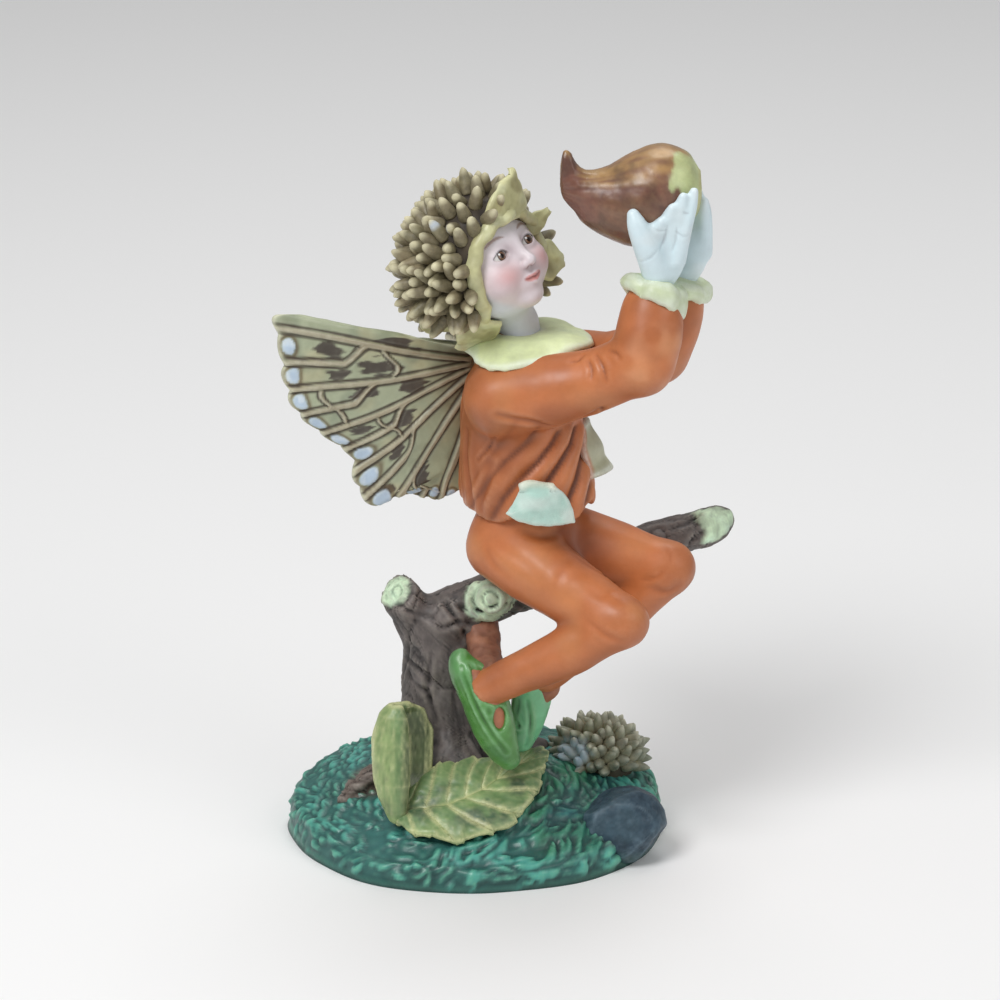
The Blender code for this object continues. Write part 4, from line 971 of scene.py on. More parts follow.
def spine_colours(points, along, tone, root, body, tip, seed):
    paint = flat_paint(points, body)
    paint = mix(paint, np.array(body) * (0.85, 0.95, 0.8), step_up(0.4, 0.9, tone))
    paint = mix(paint, np.array(body) * (1.5, 1.35, 1.1), step_up(0.35, 0.0, tone) * 0.7)
    speckle = grain(points, 0.7, seed)
    paint = mix(paint, tip, step_up(0.62, 0.98, along + 0.12 * speckle) * 0.85)
    # the roots darken as painted shade deep between the spines
    return mix(paint, root, step_up(0.55, 0.12, along))


def spread_directions(count):
    i = np.arange(count)
    level = 1 - 2 * (i + 0.5) / count
    flat = np.sqrt(1 - level ** 2)
    turn = math.pi * (3 - math.sqrt(5)) * i
    return np.column_stack((flat * np.cos(turn), flat * np.sin(turn), level))


def ball_points(centre, axes, radii, columns, rows):
    u, v = np.meshgrid(2 * np.pi * np.arange(columns) / columns, np.pi * (np.arange(rows) + 0.5) / rows)
    way = np.stack((np.sin(v) * np.cos(u), np.sin(v) * np.sin(u), -np.cos(v)), -1)
    reach = np.array(radii, float) * np.ones(3)
    rings = centre + (way * reach) @ np.array(axes)
    return loft(rings, centre - axes[2] * reach[2], centre + axes[2] * reach[2])


def make_ground_burr():
    x, y = 0.5 * BASE_WIDTH * 0.64, 0.5 * BASE_DEPTH * 0.22
    centre = at(x, y, float(ground(x, y)) + 0.2)
    axes = np.array((heading(-15), heading(75), UP))
    radii = np.array((5.4, 4.6, 4.3))
    points, faces = ball_points(centre, axes, radii, 72, 40)
    points = points + unit(points - centre) * (0.2 * grain(points, 1.1, 3))[:, None]
    piece("ground_burr_shell", points, faces, SHELL_PAINT, flat_paint(points, (0.055, 0.045, 0.028)))
    ways = spread_directions(190)
    ways = ways[ways[:, 2] > -0.12]
    roots = centre + (ways * radii * 0.93) @ axes
    aims = unit(ways @ axes + 0.25 * UP - 0.15 * heading(-60))
    points, faces, along, tone = grow_spines(
        roots, aims, length=2.5 * MM, radius=0.80 * MM, tip_share=0.30, swell=0.40, lean=0.42, seed=4,
        material=SPINE_PAINT,
    )
    paint = spine_colours(
        points, along, tone, (0.026, 0.030, 0.028), (0.165, 0.195, 0.170), (0.60, 0.62, 0.50), 5,
    )
    low = step_up(4.6, 1.0, points[:, 2] - float(ground(x, y)))
    paint = mix(paint, (0.040, 0.090, 0.080), low * 0.65)
    # a pale blue painted highlight on the spines round one spot
    pale_spot = touched(points, normals_of(points, faces), 573, 752)
    painted_glare = step_up(2.6, 1.5, apart(points, pale_spot, (1.3, 1.6, 0.9)) + 0.5 * grain(points, 0.8, 2))
    paint = mix(paint, (0.36, 0.50, 0.62), painted_glare)
    piece("ground_burr_spines", points, faces, SPINE_PAINT, paint, reach=0.5)


# Tree

BARK = painted(
    "bark_paint", (0.010, 0.008, 0.007), (0.34, 0.30, 0.26), wash_amount=1.0, brush_amount=0.55,
    mottle=0.3, mottle_size=360.0, roughness=0.55, grain_amount=0.7, pits=0.3, bump=0.5,
    streaks=((0.0, 0.0, 0.0), (1.0, 1.0, 0.22), 900.0, 0.22),
)
CUT_WOOD = (0.62, 0.80, 0.56)


def bark_lift(points, axis_start, axis_way, radius, seed):
    """Long broken ridges and cross cracks of bark round an axis."""
    offset = points - axis_start
    along = offset @ axis_way
    side = unit(np.cross(axis_way, at(0.3, 1.0, 0.2)))
    other = np.cross(axis_way, side)
    turn = np.arctan2(offset @ other, offset @ side)
    flat = np.column_stack((np.cos(turn) * radius, np.sin(turn) * radius, along * 0.24))
    wavy = flat + 0.5 * grain(points, 3.5, seed + 7)[:, None]
    ridge = 1 - np.abs(grain(wavy, 1.5, seed)) * 2.4
    fine = 1 - np.abs(grain(wavy, 0.7, seed + 1)) * 2.4
    cracks = np.column_stack((
        np.cos(turn) * radius * 0.35, np.sin(turn) * radius * 0.35,
        along + 0.8 * grain(points, 2.0, seed + 9),
    ))
    cross = np.clip(1 - np.abs(grain(cracks, 2.6, seed + 2)) * 9.0, 0, 1)
    return (
        -0.22 * np.clip(ridge, 0, 1) ** 2 - 0.12 * np.clip(fine, 0, 1) ** 2 - 0.26 * cross ** 1.5
        + 0.30 * grain(points, 3.0, seed + 3)
    )


def make_tree():
    clay = Clay((-21, -12, 4), (37, 15, 46), 0.35)
    clay.add(limb((
        (*(TRUNK + UP * 4.5), 8.3), (*(TRUNK + UP * 9.0), 7.2), (*(TRUNK + UP * 14.0), 5.9),
        (*(TRUNK + at(-0.9, 0, 22.0)), 5.1), (*(FORK - UP * 1.0), 5.0),
    )))
    roots = (
        ((-8.5, 0.5, 11.0, 3.2), (-12.6, -1.4, 9.6, 2.5), (-16.6, -3.4, 7.9, 1.7), (-18.5, -4.2, 6.6, 1.0)),
        ((-3.5, -3.5, 12.5, 3.4), (0.2, -5.6, 10.6, 2.4), (4.0, -6.6, 9.2, 1.5)),
        ((-0.5, 3.0, 11.5, 3.2), (4.2, 4.0, 11.0, 2.4), (8.5, 5.5, 10.2, 1.5)),
        ((-7.0, 5.0, 11.0, 3.2), (-9.5, 9.0, 10.0, 2.3), (-11.0, 12.5, 8.6, 1.4)),
    )
    for root in roots:
        clay.add(limb(root), 1.8)
    stub_axis = heading(190.0, 58.0)
    stub_start = FORK - UP * 2.9 - at(1.2, 0.2, 0)
    stub_end = stub_start + stub_axis * 9.9
    clay.add(limb((
        (*(stub_start - stub_axis * 2.0), 3.6), (*(stub_start + stub_axis * 4.5), 2.95),
        (*(stub_end + stub_axis * 2.2), 3.0),
    )), 1.6)
    stub_face = unit(stub_axis + 0.55 * heading(-100, 10))
    clay.slice_off(stub_end + stub_axis * 0.1, stub_face, 0.35)
    branch_end = BRANCH_START + BRANCH_AXIS * BRANCH_LENGTH
    clay.add(limb((
        (*(BRANCH_START - at(1.2, 0.0, 6.5)), 4.4), (*(BRANCH_START - at(0.4, 0.0, 1.4)), 4.0),
        (*(BRANCH_START + BRANCH_AXIS * 5.5), 3.6), (*SEAT, 3.45),
        (*(BRANCH_START + BRANCH_AXIS * BRANCH_LENGTH * 0.6), 3.0),
        (*(branch_end - BRANCH_AXIS * 4.0), 2.7), (*(branch_end - BRANCH_AXIS * 0.8), 1.75),
    )), 1.4)
    knot_way = heading(-98.0, 12.0)
    knot = BRANCH_START + BRANCH_AXIS * 6.5 + knot_way * 2.6 + UP * 0.4
    knot_side = unit(np.cross(UP, knot_way))
    knot_axes = np.array((knot_side, np.cross(knot_way, knot_side), knot_way))
    clay.add(egg(knot + knot_way * 0.8, (2.9, 2.7, 1.4), knot_axes), 0.6)
    points, faces = clay.surface()
    normals = normals_of(points, faces)

    # how far each point is from the bark of the trunk, of the stub and of the branch
    along_stub = (points - stub_start) @ stub_axis
    along_branch = (points - BRANCH_START) @ BRANCH_AXIS
    from_trunk = np.abs(np.linalg.norm((points - TRUNK)[:, :2], axis=1) - 5.3)
    from_trunk = from_trunk + 30 * step_up(27, 34, points[:, 2])
    from_stub = off_axis(points, stub_start, stub_axis) - 3.0 + 30 * step_up(0.5, -3.0, along_stub)
    from_branch = off_axis(points, BRANCH_START, BRANCH_AXIS) - 3.2 + 30 * step_up(2.0, -3.0, along_branch)
    limbs = (
        (TRUNK, UP, 5.5, 1, from_trunk),
        (stub_start, stub_axis, 3.0, 2, from_stub),
        (BRANCH_START, BRANCH_AXIS, 3.2, 3, from_branch),
    )
    weights = np.stack([np.exp(-np.clip(gap, 0, 40) / 0.7) for *_, gap in limbs])
    weights /= weights.sum(0) + 1e-9
    lift = sum(
        w * bark_lift(points, start, way, radius, 50 + 10 * seed)
        for w, (start, way, radius, seed, _) in zip(weights, limbs)
    )
    # bare peeled places: the knot, the stub's cut and the end of the branch
    ragged = 0.45 * layered_grain(points, 1.5, 3, 71)
    knot_gap = np.linalg.norm((points - knot) - np.outer((points - knot) @ knot_way, knot_way), axis=1)
    knot_gap = knot_gap + 30 * step_up(0.0, -2.0, (points - knot) @ knot_way)
    bare_knot = step_up(3.9, 3.3, knot_gap + ragged) * step_up(-0.1, 0.25, normals @ knot_way)
    stub_gap = apart(points, stub_end + stub_axis * 1.8 + heading(-120, 0) * 0.8)
    bare_stub = step_up(3.4, 2.7, stub_gap + ragged)
    end_along = (points - branch_end) @ BRANCH_AXIS
    end_side = normals @ unit(heading(-80, 25))
    bare_end = step_up(-5.6, -4.2, end_along + 2.0 * ragged) * step_up(0.42, 0.66, end_side + 0.45 * ragged)
    bare = np.clip(bare_knot + bare_stub + bare_end, 0, 1)
    lift *= 1 - bare
    rings = np.sin(knot_gap * 4.6 + 0.5 * grain(points, 1.0, 5))
    lift += bare_knot * (0.22 * rings - 0.15 * np.exp(-(knot_gap / 0.5) ** 2))
    # bark on the root at the left, which lies apart from the trunk
    left_root = step_up(-9.5, -12.0, points[:, 0]) * step_up(14.0, 11.5, points[:, 2])
    lift += left_root * (0.42 * layered_grain(points, (2.6, 0.9, 0.9), 3, 77) - 0.1)
    lift += bare_stub * 0.12 * np.sin(off_axis(points, stub_end, stub_axis) * 6.0 + grain(points, 1.2, 8))
    lift *= step_up(5.5, 7.5, points[:, 2])
    points = raised(points, normals, lift)
    points = tooled(points, normals, (
        (((436, 592), (452, 612), (470, 640)), 0.5, 0.36),
        (((403, 655), (418, 668), (432, 684)), 0.45, 0.36),
        (((410, 640), (404, 668), (399, 700)), 0.35, 0.36),
        (((432, 655), (428, 690), (436, 720)), 0.4, 0.36),
        (((455, 606), (480, 612), (508, 604), (530, 612)), 0.35, 0.36),
        (((440, 628), (462, 622), (482, 630)), 0.3, 0.36),
        (((407, 672), (424, 690), (430, 700)), 0.45, 0.36),
        (((395, 600), (410, 612), (424, 616)), 0.35, 0.36),
        (((672, 530), (690, 522), (706, 508)), 0.3, 0.36),
        (((690, 540), (705, 530)), 0.3, 0.36),
    ), ridge=0.10)
    paint = flat_paint(points, (0.108, 0.090, 0.084))
    paint = mix(
        paint, (0.062, 0.052, 0.050), step_up(0.0, 0.6, layered_grain(points, (2.4, 2.4, 4.5), 3, 61)),
    )
    paint = mix(paint, (0.175, 0.155, 0.145), step_up(0.1, 0.6, grain(points, (3.2, 3.2, 6.0), 64)) * 0.7)
    paint = mix(paint, (0.10, 0.13, 0.12), step_up(11.5, 8.5, points[:, 2]) * 0.55)
    paint = mix(paint, (0.112, 0.074, 0.058), left_root * 0.8)
    paint = mix(paint, CUT_WOOD, bare)
    paint = mix(paint, (0.50, 0.70, 0.55), bare * step_up(0.1, 0.6, grain(points, 1.6, 81)) * 0.7)
    points[:, 0] = np.where(points[:, 0] > 34, 34 + 0.68 * (points[:, 0] - 34), points[:, 0])
    piece("forked_tree", points, faces, BARK, paint, reach=0.6)


# Leaf

LEAF_PAINT = painted(
    "leaf_paint", (0.045, 0.055, 0.012), (0.72, 0.72, 0.38), wash_amount=0.9, brush_amount=0.6,
    mottle=0.22, mottle_size=340.0, roughness=0.42, grain_amount=0.35, bump=0.3, coat=0.1,
)


def leaf_colours(points, seed):
    paint = flat_paint(points, (0.132, 0.228, 0.092))
    paint = mix(paint, (0.062, 0.122, 0.062), step_up(0.0, 0.6, layered_grain(points, 3.0, 3, seed)))
    return mix(paint, (0.23, 0.35, 0.13), step_up(0.15, 0.65, grain(points, 3.8, seed + 5)) * 0.8)


def make_lying_leaf():
    """Serrated half that lies on the mound against the foot of the trunk."""
    shares = np.linspace(0, 1, 144)
    rib = along_curve(
        ((-10.6, -11.6, 7.9), (-4.7, -12.2, 8.9), (-0.3, -10.4, 10.0), (3.4, -7.6, 11.3), (8.9, -2.4, 12.6)),
        shares,
    )
    low = along_curve(
        (
            (-11.0, -13.2, 7.2), (-8.0, -16.0, 6.2), (-1.2, -16.7, 6.0), (4.6, -14.6, 7.4),
            (7.9, -9.6, 9.6), (9.0, -5.0, 11.4), (9.4, -1.8, 12.5),
        ),
        shares,
    )
    high = along_curve(
        (
            (-10.0, -10.6, 9.0), (-7.2, -7.4, 11.8), (-3.4, -6.0, 12.9), (1.2, -5.2, 12.9),
            (5.4, -3.6, 12.8), (9.0, -1.4, 12.8),
        ),
        shares,
    )
    saw = (shares * 9.5) % 1.0
    teeth = 1 + 0.075 * (saw - 0.5) * step_up(0.1, 0.25, shares) * step_up(1.0, 0.9, shares)
    columns = 75
    across = np.linspace(-1, 1, columns)
    middle = np.empty((len(shares), columns, 3))
    slots = np.zeros((len(shares), columns))
    for k, s in enumerate(across):
        edge = low if s > 0 else high
        reach = abs(s)
        bulge = 0.55 * math.sin(math.pi * reach) * np.sin(np.pi * shares) ** 0.5
        middle[:, k] = rib + (edge - rib) * reach * (1 + (teeth - 1) * reach ** 3)[:, None]
        middle[:, k, 2] += bulge
        # slanting side ribs part the blade into quilted panels
        q = (shares - 0.16 * reach) * 7.5
        panel = np.abs((q % 1.0) - 0.5) * 2
        middle[:, k, 2] += (
            (0.30 * (1 - panel ** 2) - 0.34 * panel ** 10) * step_up(0.02, 0.2, reach) * (1 - 0.35 * reach)
            - 0.22 * math.exp(-(s / 0.035) ** 2)
        )
        middle[:, k, 2] += 0.35 * reach ** 4 * np.sin(31 * shares + 2.0 * s) * np.sin(np.pi * shares)
        if s < 0:
            slots[:, k] = step_up(0.70, 0.86, panel) * step_up(0.12, 0.25, reach) * step_up(0.9, 0.65, reach)
            slots[:, k] *= step_up(0.98, 0.8, shares)
    points, faces = thick_sheet(middle, 1.05, edge=5)
    points = raised(points, normals_of(points, faces), 0.07 * layered_grain(points, 0.9, 2, 31))
    paint = leaf_colours(points, 33)
    rib_gap = np.linalg.norm(points[:, None, :] - rib[None, ::4], axis=2).min(1)
    paint = mix(paint, (0.46, 0.49, 0.20), step_up(0.9, 0.3, rib_gap) * 0.6)
    paint = mix(paint, (0.040, 0.045, 0.022), sheet_values(slots) * 0.85)
    piece("lying_leaf", points, faces, LEAF_PAINT, paint, reach=0.55)


def make_rolled_leaf():
    """Upright half, rolled into a trough that leans on the trunk."""
    rows, columns = 106, 78
    shares = np.linspace(0, 1, rows)
    spine = along_curve(
        (
            (-10.8, -12.6, 6.8), (-11.2, -11.4, 10.5), (-11.4, -10.0, 15.0), (-11.3, -8.9, 19.2),
            (-10.9, -8.3, 22.3),
        ),
        shares,
    )
    girth = np.interp(
        shares, (0, 0.12, 0.35, 0.65, 0.88, 0.97, 1.0), (0.22, 0.55, 0.95, 1.0, 0.78, 0.42, 0.16),
    )
    # one cross-section: lip in front, round the left, and a long flap back to the trunk
    section = along_curve((
        (1.9, -1.3), (0.9, -2.0), (-0.8, -1.7), (-2.1, -0.3), (-1.7, 1.3), (0.1, 2.0), (2.4, 2.5), (4.6, 3.4),
    ), np.linspace(0, 1, columns))
    s = np.linspace(0, 1, columns)
    middle = np.empty((rows, columns, 3))
    for i, t in enumerate(shares):
        open_out = 1 + 0.18 * math.sin(math.pi * t)
        flat = section * girth[i] * open_out
        ripple = 0.12 * np.sin(26 * t + 3 * s) * np.abs(2 * s - 1) ** 3
        middle[i] = (
            spine[i]
            + np.column_stack((flat[:, 0], flat[:, 1] * 0.95, ripple - 0.5 * (s - 0.3) ** 2 * girth[i]))
        )
        veins = np.abs(((s * 8.0 - 2.2 * t * (1 - t)) % 1.0) - 0.5) * 2
        veins = np.where(s > 0.42, veins, 0.35 * veins)
        push = unit(np.column_stack((flat[:, 0] - 0.4, flat[:, 1], np.zeros(columns))))
        middle[i] -= push * (0.24 * veins ** 5 * math.sin(math.pi * min(1, 0.06 + t)))[:, None]
    points, faces = thick_sheet(middle, 1.0, edge=5)
    normals = normals_of(points, faces)
    points = raised(points, normals, 0.08 * layered_grain(points, (0.7, 0.7, 2.0), 2, 37))
    paint = leaf_colours(points, 39)
    # darker where the leaf rolls in against the trunk: painted shade between leaf and trunk
    inner = step_up(-10.8, -9.2, points[:, 0])
    paint = mix(paint, (0.085, 0.105, 0.042), inner * 0.8)
    paint = mix(paint, (0.34, 0.43, 0.17), step_up(-10.4, -12.2, points[:, 0]) * 0.5)
    piece("rolled_leaf", points, faces, LEAF_PAINT, paint, reach=0.55)


# Figure: trousers, socks and shoes

CLOTH = painted(
    "cloth_paint", (0.120, 0.032, 0.014), (0.80, 0.42, 0.24), wash_amount=0.75, brush_amount=0.26,
    mottle=0.12, mottle_size=170.0, roughness=0.46, swing=0.08, grain_amount=0.25, pits=0.12, bump=0.18,
    coat=0.08,
)
THIGH_LENGTH = 20.0
NEAR = {"side": -1, "thigh": heading(-31, -19), "shin": heading(173, -30), "length": 20.6}
FAR = {"side": 1, "thigh": heading(-13, -9), "shin": heading(182.5, -43), "length": 22.0}


def leg_points(leg):
    hip = PELVIS + BODY_LEFT * leg["side"] * 3.6 - UP * 0.4
    knee = hip + leg["thigh"] * THIGH_LENGTH
    return hip, knee, knee + leg["shin"] * leg["length"]


def cloth_colours(points, seed):
    paint = flat_paint(points, (0.520, 0.160, 0.050))
    paint = mix(paint, (0.390, 0.112, 0.034), step_up(-0.1, 0.7, layered_grain(points, 6.0, 2, seed)) * 0.8)
    return mix(paint, (0.550, 0.200, 0.068), step_up(0.1, 0.7, grain(points, 4.5, seed + 3)) * 0.7)


def make_trousers():
    clay = Clay((-4, -19, 20), (32, 12, 56), 0.38)
    clay.add(
        egg(PELVIS + UP * 3.3 + BODY_FORWARD * 1.7, (5.9, 7.0, 7.2), np.array((BODY_FORWARD, BODY_LEFT, UP)))
    )
    for leg in (NEAR, FAR):
        hip, knee, ankle = leg_points(leg)
        thigh, shin = leg["thigh"], leg["shin"]
        clay.add(limb((
            (*(hip + thigh * 0.3 + UP * 0.8), 4.7), (*(hip + thigh * 5.0 + UP * 0.6), 4.95),
            (*(hip + thigh * 11.0 + UP * 0.3), 4.6),
            (*(hip + thigh * 16.0), 4.0), (*(knee - thigh * 0.6), 3.5), (*(knee + thigh * 0.2), 3.2),
        )), 2.2)
        clay.add(limb((
            (*(knee - shin * 0.2), 3.3), (*(knee + shin * 3.0), 3.45), (*(knee + shin * 8.0 - UP * 0.4), 3.4),
            (*(knee + shin * 14.5 - UP * 0.2), 2.9), (*ankle, 2.55), (*(ankle + shin * 0.6), 2.5),
        )), 1.3)
    near_ankle = leg_points(NEAR)[2]
    clay.carve(
        egg(near_ankle + NEAR["shin"] * 3.6, (3.0, 4.0, 4.0), np.array((NEAR["shin"], *np.eye(3)[1:]))), 0.3,
    )
    points, faces = clay.surface()
    normals = normals_of(points, faces)
    points = raised(points, normals, 0.10 * layered_grain(points, 3.5, 2, 90))
    points = tooled(points, normals, (
        (((574, 556), (590, 566), (606, 574), (618, 572)), 0.12, 0.42),
        (((586, 588), (602, 596), (616, 590)), 0.08, 0.5),
        (((572, 560), (560, 574), (556, 590)), 0.1, 0.55),
        (((498, 545), (520, 560), (545, 580)), 0.08, 0.7),
        (((642, 580), (656, 578), (666, 570)), 0.14, 0.38),
        (((664, 546), (671, 556), (668, 566)), 0.1, 0.35),
        (((650, 588), (668, 592), (680, 584)), 0.18, 0.5),
        (((520, 532), (545, 536), (566, 528)), 0.22, 0.6),
        (((590, 620), (606, 636), (618, 640)), 0.18, 0.5),
        (((486, 548), (494, 562), (508, 576)), 0.16, 0.6),
    ), ridge_share=0.35)
    paint = cloth_colours(points, 92)
    # painted shade on the faces that point down
    under = step_up(0.25, -0.7, normals[:, 2])
    paint = mix(paint, (0.27, 0.070, 0.025), under * 0.35)
    # painted shade between the thighs
    crotch = apart(points, PELVIS + BODY_FORWARD * 11 + UP * 0.5)
    paint = mix(paint, (0.23, 0.055, 0.025), step_up(7.0, 2.0, crotch) * 0.5)
    piece("trousers", points, faces, CLOTH, paint, reach=1.0)


SOCK_PAINT = painted(
    "sock_paint", (0.05, 0.016, 0.008), (0.55, 0.28, 0.18), mottle=0.2, mottle_size=500.0, roughness=0.5,
    grain_amount=0.5, bump=0.35,
)
SHOE_PAINT = painted(
    "shoe_paint", (0.010, 0.055, 0.010), (0.36, 0.66, 0.38), wash_amount=0.9, brush_amount=0.45,
    mottle=0.16, mottle_size=260.0, roughness=0.34, grain_amount=0.3, bump=0.25, coat=0.25,
)


FEET = (
    {
        "box": ((-7, -16, 11), (10, -4, 33)),
        "ankle": at(1.3, -10.2, 25.0),
        "rise": 0.4,
        "sole": (
            (-1.0, -9.3, 27.0, 1.6), (0.3, -9.6, 24.9, 2.35), (1.3, -9.9, 22.4, 2.55),
            (2.2, -10.2, 19.6, 2.25), (3.1, -10.4, 17.2, 1.75), (4.2, -10.5, 15.2, 0.95),
        ),
        "flare": (
            (-0.8, -8.9, 25.0, 2.0), (-1.8, -8.6, 27.0, 2.0), (-2.3, -8.5, 28.5, 1.65),
            (-2.2, -8.5, 29.4, 1.1),
        ),
        "opening": ((0.6, -12.2, 29.6, 2.6), (1.7, -12.4, 27.0, 2.5), (3.4, -12.6, 25.3, 1.7)),
        "window": (at(3.0, -12.9, 22.0), (0.95, 1.9, 1.7)),
    },
    {
        "box": ((1, -9, 10), (16, 6, 33)),
        "ankle": at(9.4, -1.6, 24.2),
        "rise": 3.0,
        "sole": (
            (8.3, -0.6, 26.0, 1.7), (7.7, -1.0, 22.8, 2.1), (7.2, -1.4, 20.0, 2.15), (6.7, -1.8, 17.4, 1.8),
            (6.1, -2.2, 15.0, 1.25), (5.6, -2.6, 13.3, 0.7),
        ),
        "flare": ((6.8, -0.8, 23.2, 1.25), (6.2, -0.7, 24.8, 1.0), (5.9, -0.6, 25.8, 0.6)),
        "opening": ((11.8, -3.0, 26.8, 2.5), (11.2, -3.3, 23.2, 2.1), (10.4, -3.6, 20.4, 1.3)),
        "window": (at(10.6, -3.8, 18.6), (0.6, 1.2, 1.2)),
    },
)


def make_feet():
    socks, shoes = [], []
    for foot in FEET:
        clay = Clay(*foot["box"], 0.27)
        clay.add(limb(foot["sole"]))
        clay.add(
            limb((
                (*(foot["ankle"] + UP * foot["rise"]), 2.0), (*foot["ankle"], 2.2),
                (*(foot["ankle"] - UP * 2.0 - BODY_FORWARD * 0.5), 2.2),
            )),
            1.0,
        )
        socks.append(clay.surface())
        clay = Clay(*foot["box"], 0.23)
        clay.add(limb([(x, y, z, r + 0.55) for x, y, z, r in foot["sole"]]))
        clay.add(limb(foot["flare"]), 0.9)
        clay.carve(limb(foot["opening"]), 0.4)
        place, radii = foot["window"]
        clay.carve(egg(place, radii, np.array((at(1, 0, 0), at(0, 1, 0), UP))), 0.3)
        shoes.append(clay.surface())
    points, faces = merged(socks)
    normals = normals_of(points, faces)
    points = raised(points, normals, 0.06 * grain(points, 0.8, 3))
    paint = mix(
        flat_paint(points, (0.390, 0.145, 0.075)), (0.28, 0.100, 0.055),
        step_up(0, 0.6, layered_grain(points, 1.8, 2, 7)),
    )
    piece("socks", points, faces, SOCK_PAINT, paint)
    points, faces = merged(shoes)
    normals = normals_of(points, faces)
    points = raised(points, normals, 0.07 * layered_grain(points, 1.8, 2, 13))
    points = tooled(points, normals, (
        (((462, 668), (472, 696), (486, 726), (506, 752)), 0.22, 0.3),
        (((470, 664), (480, 690), (490, 712)), 0.16, 0.3),
        (((519, 700), (518, 726), (519, 750)), 0.3, 0.3),
        (((527, 702), (530, 724), (527, 746)), 0.18, 0.3),
    ), ridge=0.14)
    paint = mix(
        flat_paint(points, (0.070, 0.235, 0.040)), (0.048, 0.180, 0.030),
        step_up(0.0, 0.7, layered_grain(points, 3.0, 2, 15)),
    )
    # the far shoe is painted lighter green: painted light, as both shoes share one paint
    paint = mix(
        paint, (0.22, 0.62, 0.33),
        step_up(4.4, 6.2, points[:, 0]) * step_up(-9.0, -6.5, points[:, 1]) * 0.85,
    )
    paint = mix(paint, (0.15, 0.38, 0.14), step_up(0.2, 0.7, grain(points, (2.0, 2.0, 5.0), 19)) * 0.45)
    piece("pointed_shoes", points, faces, SHOE_PAINT, paint, reach=0.5)


def make_ankle_web():
    """Web of resin left between the fork and the near ankle."""
    clay = Clay((-6, -14, 18), (8, 6, 36), 0.32)
    start, end = FORK + at(4.0, -0.5, 1.0), leg_points(NEAR)[2] + at(0.5, 1.0, 1.0)
    middle = 0.5 * (start + end) - UP * 0.8
    clay.add(limb(((*start, 2.4), (*middle, 1.7), (*end, 2.0))))
    clay.add(limb(((*(start + at(1.6, 0, 0.4)), 1.8), (*(middle + at(1.3, 0, 0)), 1.3), (*end, 1.8))), 1.0)
    points, faces = clay.surface()
    normals = normals_of(points, faces)
    points = raised(points, normals, 0.16 * layered_grain(points, 1.2, 2, 5))
    paint = mix(
        flat_paint(points, (0.25, 0.105, 0.065)), (0.38, 0.16, 0.09),
        step_up(0.1, 0.7, grain(points, 1.6, 6)),
    )
    piece("ankle_web", points, faces, SOCK_PAINT, paint)


# Figure: tunic, sleeves, collar and cuffs

TUNIC_ROWS = np.array((
    (0.00, 0.985, 0.97), (0.10, 1.000, 1.00), (0.26, 0.960, 0.97), (0.44, 0.925, 0.92),
    (0.62, 0.880, 0.90), (0.78, 0.790, 0.86), (0.92, 0.570, 0.70), (1.00, 0.370, 0.40),
))
HEM = PELVIS + UP * 5.6 + at(2.1, 0.0, 0.0)
LINING = painted(
    "lining_paint", (0.16, 0.17, 0.10), (0.86, 0.92, 0.84), wash_amount=0.8, brush_amount=0.4,
    mottle=0.12, mottle_size=380.0, roughness=0.45, grain_amount=0.3, bump=0.2, coat=0.1,
)
UPPER_ARM, FOREARM = 18.9, 9.4
NEAR_ARM = {
    "side": -1, "upper": heading(-16, 19.5), "fore": heading(51, 71), "hand": heading(-18, 78),
    "droop": -1.1,
}
FAR_ARM = {
    "side": 1, "upper": heading(-35, 17), "fore": heading(0, 70), "hand": heading(-20, 80), "droop": 0.6,
}
PALM_LENGTH, FINGER_LENGTH = 7.0, 6.4


def tunic_size(share):
    share = np.asarray(share, float)
    swell = 9.5 + (8.2 / 0.88 - 9.5) * np.minimum(1.0, share / 0.62)
    depth = np.interp(share, TUNIC_ROWS[:, 0], TUNIC_ROWS[:, 1]) * swell
    return depth, np.interp(share, TUNIC_ROWS[:, 0], TUNIC_ROWS[:, 2]) * swell


def tunic_point(share, angle, lift=0.0):
    """Points on the tunic; the angle runs from straight ahead towards the figure's left."""
    share, angle, lift = np.broadcast_arrays(np.asarray(share, float), angle, lift)
    depth, width = tunic_size(share)
    centre = HEM + (NECK - HEM) * share[..., None]
    ahead = ((depth + lift) * np.cos(angle))[..., None]
    aside = ((width + lift) * np.sin(angle))[..., None]
    return centre + BODY_FORWARD * ahead + BODY_LEFT * aside


def tunic_form(shrink=0.0, low=0.0, high=1.0):
    """The tunic's body as a form for the clay."""
    span = NECK - HEM

    def distance(p):
        share = (p[..., 2] - HEM[2]) / span[2]
        centre = HEM + span * share[..., None]
        offset = p - centre
        depth, width = tunic_size(np.clip(share, 0, 1))
        depth, width = depth - shrink, width - shrink
        ahead, aside = offset @ BODY_FORWARD, offset @ BODY_LEFT
        round_it = np.sqrt((ahead / depth) ** 2 + (aside / width) ** 2) - 1
        round_it = round_it * np.minimum(depth, width) * 0.93
        angle = np.arctan2(aside, ahead)
        lower = low * span[2] + 0.45 * np.sin(5 * angle + 0.8) + 0.25 * np.sin(9 * angle)
        return np.maximum(np.maximum(round_it, lower - share * span[2]), (share - high) * span[2])

    box = tunic_point(np.linspace(0, 1, 9)[:, None], np.linspace(0, 6.28, 24)[None, :]).reshape(-1, 3)
    return distance, box.min(0) - 1.5, box.max(0) + 1.5


def arm_points(arm):
    side = arm["side"]
    start = NECK - UP * 4.7 + BODY_LEFT * 6.6 * side + BODY_FORWARD * 1.25 * (1 - side)
    elbow = start + arm["upper"] * UPPER_ARM
    wrist = elbow + arm["fore"] * FOREARM
    return start, elbow, wrist, wrist + arm["hand"] * PALM_LENGTH


